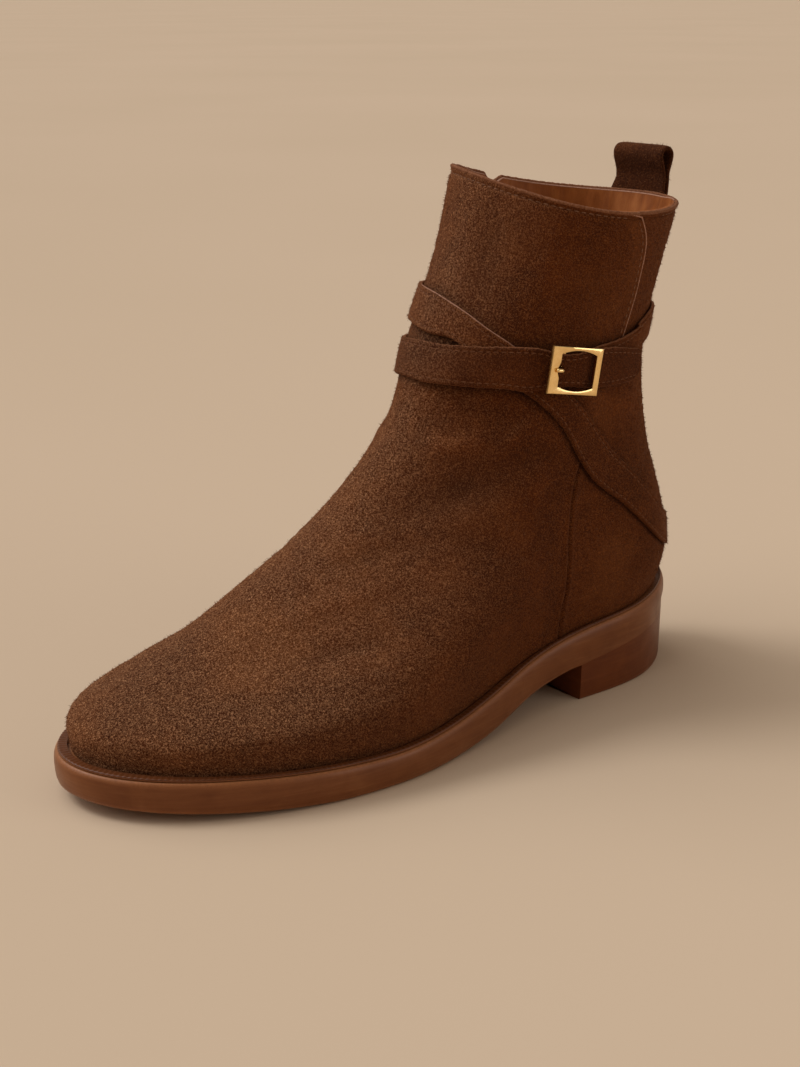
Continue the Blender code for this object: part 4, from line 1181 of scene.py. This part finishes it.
def build_nap(material):
    """Short raised fibres of the suede, each a thin spike leaning with the nap."""
    rng = np.random.default_rng(NAP_SEED)
    points = []
    for grid in (skin_grid()[1], strap_grid(STRAP_OVER_FRONT)[:, 2:-2], strap_grid(STRAP_TO_BUCKLE)[:, 2:-2],
                 loop_grid(), rim_roll()[0].reshape(-1, ROLL_SIDES, 3)):
        corner = grid[:-1, :-1].reshape(-1, 3)
        along = grid[:-1, 1:].reshape(-1, 3) - corner
        rise = grid[1:, :-1].reshape(-1, 3) - corner
        out = np.cross(along, rise)
        area = np.linalg.norm(out, axis=1)
        count = int(area.sum() * NAP_DENSITY)
        pick = rng.choice(len(area), count, p=area / area.sum())
        share = rng.random((count, 2))
        root = corner[pick] + along[pick] * share[:, :1] + rise[pick] * share[:, 1:]
        out *= np.sign(np.sum(out * (corner - grid.reshape(-1, 3).mean(0))))
        out = out[pick] / area[pick, None]
        lean = rng.normal(0.0, NAP_SPREAD, (count, 3)) + NAP_DROOP
        run = unit(out * NAP_STAND + lean - out * np.sum(lean * out, axis=1)[:, None])
        side = unit(np.cross(run, out + NAP_NUDGE)) * rng.uniform(*NAP_HALF_WIDTH, (count, 1))
        up = np.cross(run, side)
        tip = root + run * rng.uniform(*NAP_LENGTH, (count, 1))
        root = root - run * NAP_ROOT
        points.append(np.stack([root + side, root - side, root + up, tip], axis=1).reshape(-1, 3))
    points = np.concatenate(points)
    spike = np.array([[0, 1, 2], [0, 3, 1], [1, 3, 2], [2, 3, 0]])
    faces = (np.arange(0, len(points), 4)[:, None, None] + spike).reshape(-1, 3).tolist()
    add_piece("suede_nap", points, faces, material, slot="suede", sharp=180.0)


# Pull loop

def back_wall(y, rise):
    """Place of the collar's outer face at the back, at a sideways place and a height from the rim."""
    turn = np.linspace(-70.0, 70.0, 141)
    ring = surface(turn, np.full(len(turn), TOP_LEVEL + rise / back_rise()))
    return np.interp(y, ring[:, 1], ring[:, 0])


def loop_path():
    """Middle line of the folded strip: height over the rim and distance out from the collar."""
    half = (LOOP_THICK + GAP) / 2.0
    middle = LOOP_STAND_OFF + LOOP_THICK + GAP / 2.0
    wide = half + LOOP_RADIUS
    turn_rise = LOOP_RISE - wide
    leg = [(rise, half) for rise in np.linspace(-LOOP_LEG, LOOP_PINCH, LOOP_LEG_POINTS)]
    for share in np.linspace(0.0, 1.0, LOOP_FLARE_POINTS)[1:-1]:
        leg.append((LOOP_PINCH + (turn_rise - LOOP_PINCH) * share, half + LOOP_RADIUS * smooth_step(share)))
    bend = np.linspace(0.0, np.pi, LOOP_BEND_POINTS)
    fold = [(turn_rise + wide * np.sin(a), middle - wide * np.cos(a)) for a in bend]
    front = [(rise, middle - off) for rise, off in leg]
    rear = [(rise, middle + off) for rise, off in leg[::-1]]
    return np.array(front + fold + rear)


def loop_grid():
    """Cross-sections along the folded strip, whose legs lie on the collar's outside."""
    rim = surface(LOOP_ANGLE, float(TOP_LEVEL))
    path = loop_path()
    run = np.gradient(path, axis=0)
    side = unit(np.stack([-run[:, 1], run[:, 0]], -1))
    turn = np.linspace(0.0, 2.0 * np.pi, LOOP_SIDES, endpoint=False) + np.pi / LOOP_SIDES
    across = np.sign(np.cos(turn)) * np.abs(np.cos(turn)) ** LOOP_WIDTH_POWER * LOOP_WIDTH / 2.0
    thick = np.sign(np.sin(turn)) * np.abs(np.sin(turn)) ** LOOP_THICK_POWER * LOOP_THICK / 2.0
    grid = []
    for (rise, off), (up, out) in zip(path, side):
        low = min(rise, 0.0)
        level = back_wall(rim[1], low)
        bow = np.clip(1.0 - rise / LOOP_PINCH, LOOP_TOP_BOW, 1.0)
        x = level + (back_wall(rim[1] + across, low) - level) * bow - off - out * thick
        grid.append(np.column_stack([x, rim[1] + across, rim[2] + rise + up * thick]))
    return np.array(grid)


def build_pull_loop(material):
    """Folded strip at the back, its fold standing above the collar."""
    grid = loop_grid()
    faces = ring_faces(*grid.shape[:2])
    add_piece("pull_loop_suede", grid.reshape(-1, 3), faces, material, "pull_loop", "suede", sharp=60.0)


# Buckle

def buckle_matrix():
    """Frame of the buckle: its long way runs forward along the strap, its face looks outwards."""
    angle = np.array(BUCKLE_ANGLE)
    level = np.array(BUCKLE_LEVEL)
    centre = (surface(angle, level, BUCKLE_LIFT) - [HEEL_CENTRE, 0.0, 0.0]) * MM
    face = Vector(normal(angle, level))
    ahead = surface(angle + BUCKLE_HALF_SPAN_DEG, level + BUCKLE_CLIMB_LEVELS)
    behind = surface(angle - BUCKLE_HALF_SPAN_DEG, level - BUCKLE_CLIMB_LEVELS)
    up = face.cross(Vector(ahead - behind)).normalized()
    turned = Matrix((up.cross(face), up, face)).transposed().to_4x4()
    return Matrix.Translation(Vector(centre)) @ turned


def placed(points):
    """Points in mm in the buckle's frame, in metres in the boot's."""
    place = buckle_matrix()
    return np.asarray(points) * MM @ np.array(place.to_3x3()).T + np.array(place.translation)


def box_mesh(low, high):
    """Corners and faces of a small post."""
    corners = [(x, y, z) for x in (low[0], high[0]) for y in (low[1], high[1]) for z in (low[2], high[2])]
    return corners, [(0, 1, 3, 2), (4, 6, 7, 5), (0, 4, 5, 1), (2, 3, 7, 6), (0, 2, 6, 4), (1, 5, 7, 3)]


def buckle_outlines():
    """Outer rectangle and barrel-shaped window of the buckle, point beside point."""
    half_long = BUCKLE_LONG / 2.0
    half_tall = BUCKLE_TALL / 2.0
    window_half = (BUCKLE_LONG - BAR_THICK_END - BAR_SLIM_END) / 2.0
    window_middle = (BAR_SLIM_END - BAR_THICK_END) / 2.0
    corner = half_tall - WINDOW_CORNER_BAR
    share = np.linspace(-1.0, 1.0, BUCKLE_SIDE_POINTS, endpoint=False)
    level = np.ones(len(share))
    bow = corner + (WINDOW_CORNER_BAR - WINDOW_SIDE_BAR) * (1.0 - share ** 2)
    dent = WINDOW_NOTCH * np.clip(1.0 - np.abs(share) * corner / WINDOW_NOTCH_HALF, 0.0, 1.0)
    outer = []
    inner = []
    for sign, notch in ((1.0, dent), (-1.0, 0.0 * dent)):
        outer.append(np.column_stack([sign * share * half_long, sign * half_tall * level]))
        inner.append(np.column_stack([window_middle + sign * share * window_half, sign * bow]))
        outer.append(np.column_stack([sign * half_long * level, -sign * share * half_tall]))
        inner.append(np.column_stack([window_middle + sign * (window_half + notch), -sign * share * corner]))
    return np.concatenate(outer), np.concatenate(inner)


def buckle_bar():
    """Points and faces of the two posts and the hidden bar behind the frame, one after the other."""
    foot = BAR_LIFT + BAR_RADIUS - BUCKLE_LIFT
    for sign in (-1.0, 1.0):
        y = sign * (BUCKLE_TALL - GAP - POST_WIDTH) / 2.0
        yield box_mesh((BAR_SHIFT - BAR_RADIUS, y - POST_WIDTH / 2.0, foot),
                       (BAR_SHIFT + BAR_RADIUS, y + POST_WIDTH / 2.0, BUCKLE_THICK / 2.0))
    run = np.linspace(-BUCKLE_TALL / 2.0 + GAP, BUCKLE_TALL / 2.0 - GAP, BAR_POINTS)
    path = np.column_stack([np.full(len(run), BAR_SHIFT), run, np.full(len(run), foot)])
    side = np.tile([1.0, 0.0, 0.0], (len(run), 1))
    up = np.tile([0.0, 0.0, 1.0], (len(run), 1))
    yield ring_tube(path, side, up, BAR_RADIUS, BAR_SIDES)


def build_buckle(material, side_material):
    """Flat bevelled frame with a barrel-shaped window, its sides and bevels in a darker gold as painted
    shade, on two posts and a hidden bar.
    """
    outer, inner = buckle_outlines()
    edge = BUCKLE_BEVEL / np.linalg.norm(inner - outer, axis=1)[:, None]
    rows = [(inset * edge, height) for inset, height in BUCKLE_EDGE]
    rows += [(1.0 - inset * edge, height) for inset, height in BUCKLE_EDGE[::-1]]
    loops = [np.column_stack([outer * (1.0 - share) + inner * share, np.full(len(outer), height)])
             for share, height in rows]
    faces = ring_faces(len(loops), len(outer), True)
    points = np.concatenate(loops).tolist()
    for more_points, more_faces in buckle_bar():
        faces += [[k + len(points) for k in face] for face in more_faces]
        points += np.asarray(more_points).tolist()
    buckle = add_piece("buckle_gold", placed(points), faces, material, "buckle_frame", "brass",
                       sharp=28.0, local=True)
    second_material(buckle, side_material, np.isin(np.arange(len(faces)) // len(outer), BUCKLE_PAINTED_SHADE_BANDS))


def prong_route():
    """Middle line of the prong in the buckle's frame: along the strap, and out from the frame's back."""
    seat = BUCKLE_THICK - PRONG_SEAT_DEPTH + GAP + PRONG_RADIUS
    root = BAR_SHIFT + BAR_RADIUS + GAP + PRONG_RADIUS
    foot = BAR_LIFT + BAR_RADIUS - BUCKLE_LIFT
    tip = (BUCKLE_LONG - BAR_THICK_END) / 2.0
    return np.array([(root, foot), (root + PRONG_LEAN, foot / 2.0), (root + PRONG_BEND, PRONG_BEND_RISE),
                     (root + PRONG_RUN, seat), (tip, seat)])


def build_prong(material):
    """Round prong that comes up through the strap and rests in the thick bar's notch."""
    route = prong_route()
    length = lengths(route)
    mark = np.linspace(0.0, length[-1], PRONG_POINTS)
    flat = np.column_stack([smooth_table(mark, length, route[:, k]) for k in range(2)])
    path = np.column_stack([flat[:, 0], 0.0 * mark, flat[:, 1]])
    side = np.tile([0.0, 1.0, 0.0], (len(mark), 1))
    up = np.cross(unit(np.gradient(path, axis=0)), side)
    away = np.clip(np.minimum(mark, length[-1] - mark) / PRONG_RADIUS, 0.0, 1.0)
    radius = PRONG_RADIUS * np.sqrt(np.clip(1.0 - (1.0 - away) ** 2, PRONG_END_LEAST, 1.0))
    points, faces = ring_tube(path, side, up, radius, PRONG_SIDES)
    add_piece("prong_gold", placed(points), faces, material, "prong", "brass", sharp=50.0, local=True)


def punch_hole(strap):
    """Cuts the prong's hole through the strap."""
    turn = np.linspace(0.0, 2.0 * np.pi, HOLE_SIDES, endpoint=False)
    x = prong_route()[1][0] + PRONG_HOLE_RADIUS * np.cos(turn)
    y = PRONG_HOLE_RADIUS * np.sin(turn)
    points = np.concatenate([np.column_stack([x, y, np.full(HOLE_SIDES, z)]) for z in HOLE_REACH])
    cutter = new_item("hole_cutter", new_mesh("hole_cutter", placed(points), ring_faces(2, HOLE_SIDES)))
    change = strap.modifiers.new("hole", "BOOLEAN")
    change.object = cutter
    change.operation = "DIFFERENCE"
    change.solver = "EXACT"
    bpy.context.view_layer.update()
    cut = bpy.data.meshes.new_from_object(strap.evaluated_get(bpy.context.evaluated_depsgraph_get()))
    strap.modifiers.clear()
    strap.data = cut
    bpy.data.objects.remove(cutter)


# Stage

def build_stage():
    """Wide pale floor that runs to the horizon."""
    steps = np.linspace(-FLOOR_HALF, FLOOR_HALF, 13)
    mesh = bpy.data.meshes.new("floor")
    points = [(float(x), float(y), 0.0) for x in steps for y in steps]
    mesh.from_pydata(points, [], grid_faces(len(steps), len(steps), False))
    look = Look("floor_paper")
    tone = look.ramp(look.noise(look.place, 1.2, 2.0), (0.3, FLOOR_DARK), (0.7, FLOOR_LIGHT))
    mesh.materials.append(look.finished({"Base Color": tone, "Roughness": 0.95, "Specular IOR Level": 0.05}))
    new_item("floor", mesh)


def aimed(place, aim):
    """Rotation that turns a light or camera at a place towards an aim."""
    return (Vector(aim) - Vector(place)).to_track_quat("-Z", "Y").to_euler()


def build_lights():
    """A key from the left with a soft and a softer part, a weak panel for gloss, and an even warm sky."""
    for strength, softness_deg in KEY_SUNS:
        key = bpy.data.lights.new("key", "SUN")
        key.energy = strength
        key.angle = np.radians(softness_deg)
        key.color = KEY_COLOUR
        new_item("key", key).rotation_euler = aimed(KEY_DIRECTION, (0.0, 0.0, 0.0))
    panel = bpy.data.lights.new("panel", "AREA")
    panel.shape = "RECTANGLE"
    panel.size, panel.size_y = PANEL_SIZE
    panel.energy = PANEL_POWER
    item = new_item("panel", panel)
    item.location = PANEL_PLACE
    item.rotation_euler = aimed(PANEL_PLACE, PANEL_AIM)
    world = bpy.data.worlds.new("studio")
    world.use_nodes = True
    sky = world.node_tree.nodes["Background"]
    sky.inputs["Color"].default_value = SKY_COLOUR
    sky.inputs["Strength"].default_value = SKY_STRENGTH
    bpy.context.scene.world = world


def build_camera():
    """Camera at the photograph's angle."""
    camera = bpy.data.cameras.new("camera")
    camera.sensor_fit = "VERTICAL"
    camera.sensor_height = SENSOR_HEIGHT
    camera.lens = CAMERA_LENS
    camera.clip_start = 0.01
    item = new_item("camera", camera)
    item.location = CAMERA_PLACE
    item.rotation_euler = aimed(CAMERA_PLACE, CAMERA_AIM)
    bpy.context.scene.camera = item


build_camera()
build_stage()
build_lights()
bpy.context.scene.view_settings.view_transform = "Standard"

# Colours run from dark through mid to light, then the pale tips of the suede, which are painted light
body_suede = suede("suede_body", (0.047, 0.009, 0.0008), (0.125, 0.0285, 0.0036), (0.255, 0.077, 0.018),
                   (0.26, 0.162, 0.09), shaded=True)
wrap_suede = suede("suede_wrap", (0.047, 0.009, 0.0008), (0.123, 0.028, 0.0034), (0.255, 0.077, 0.018),
                   (0.22, 0.136, 0.076))
strap_suede = suede("suede_strap", (0.04, 0.0078, 0.0008), (0.094, 0.0212, 0.0028), (0.2, 0.055, 0.0118),
                    (0.16, 0.105, 0.06))
loop_suede = suede("suede_loop", (0.032, 0.0065, 0.0008), (0.08, 0.019, 0.003), (0.165, 0.048, 0.011),
                   (0.03, 0.018, 0.01))
nap_suede = fibrous("suede_fibres", (0.1, 0.025, 0.0045), (0.27, 0.1, 0.038), 0.9)
roll_suede = fibrous("suede_roll", (0.11, 0.032, 0.009), (0.27, 0.11, 0.052), 0.9)
edge_suede = fibrous("suede_edge", (0.14, 0.04, 0.01), (0.26, 0.1, 0.042), 0.85)
sole_leather = burnished("sole_burnished", (0.133, 0.038, 0.0105), (0.185, 0.06, 0.0185),
                         (0.25, 0.095, 0.035))
heel_leather = burnished("heel_burnished", (0.1, 0.022, 0.0045), (0.14, 0.034, 0.0075), (0.19, 0.052, 0.014))
welt_leather = burnished("welt_brown", (0.035, 0.009, 0.0025), (0.068, 0.019, 0.0055), (0.11, 0.034, 0.011))
tan_lining = lining_leather("lining_tan", (0.17, 0.04, 0.005), (0.275, 0.075, 0.0125), (0.43, 0.145, 0.036))
pale_edge = fibrous("cut_edge", (0.26, 0.115, 0.066), (0.5, 0.27, 0.18), 0.8)
thread = fibrous("thread", (0.11, 0.032, 0.009), (0.24, 0.1, 0.046), 0.7)
pale_thread = fibrous("pale_thread", (0.12, 0.04, 0.015), (0.32, 0.16, 0.09), 0.7)
gold = polished_gold("gold_plate", (0.85, 0.58, 0.24), (0.98, 0.72, 0.35))
# Darker copy of the gold for the buckle's sides and bevels: painted shade
gold_side_painted_shade = polished_gold("gold_sides_painted_shade", (0.4, 0.23, 0.07), (0.6, 0.37, 0.14))

build_upper(body_suede)
build_lining(tan_lining)
build_collar_edge(pale_edge)
add_piece("rim_roll", *rim_roll(), roll_suede, slot="suede")
build_flap_edge(pale_edge)
build_strap_edge(pale_edge)
# The wrapped strap's lower cut edges keep the darker strap suede as painted shade; only its upper cut edges
# are pale
build_strap("strap_wrapped_suede", STRAP_OVER_FRONT, wrap_suede, edge_suede, "strap_wrapped", (-4, -3))
punch_hole(build_strap("strap_holed_suede", STRAP_TO_BUCKLE, strap_suede, edge_suede, "strap_holed",
                       (1, 2, -4, -3)))
build_nap(nap_suede)
build_pull_loop(loop_suede)
build_buckle(gold, gold_side_painted_shade)
build_prong(gold)
build_sole(sole_leather)
build_heel(heel_leather)
build_welt(welt_leather, sole_leather)
strap_paths = strap_stitch_paths(STRAP_OVER_FRONT, 2.0, 4.0) + strap_stitch_paths(STRAP_TO_BUCKLE, 4.0, 2.0)
for name, paths, material in (("strap_stitches", strap_paths, thread),
                              ("flap_stitches", flap_stitch_paths(), pale_thread),
                              ("rim_stitches", rim_stitch_paths(), pale_thread)):
    add_piece(name, *stitch_rows(paths), material, slot="suede")
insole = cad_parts["insole"]
insole.data.materials.clear()
insole.data.materials.append(tan_lining)
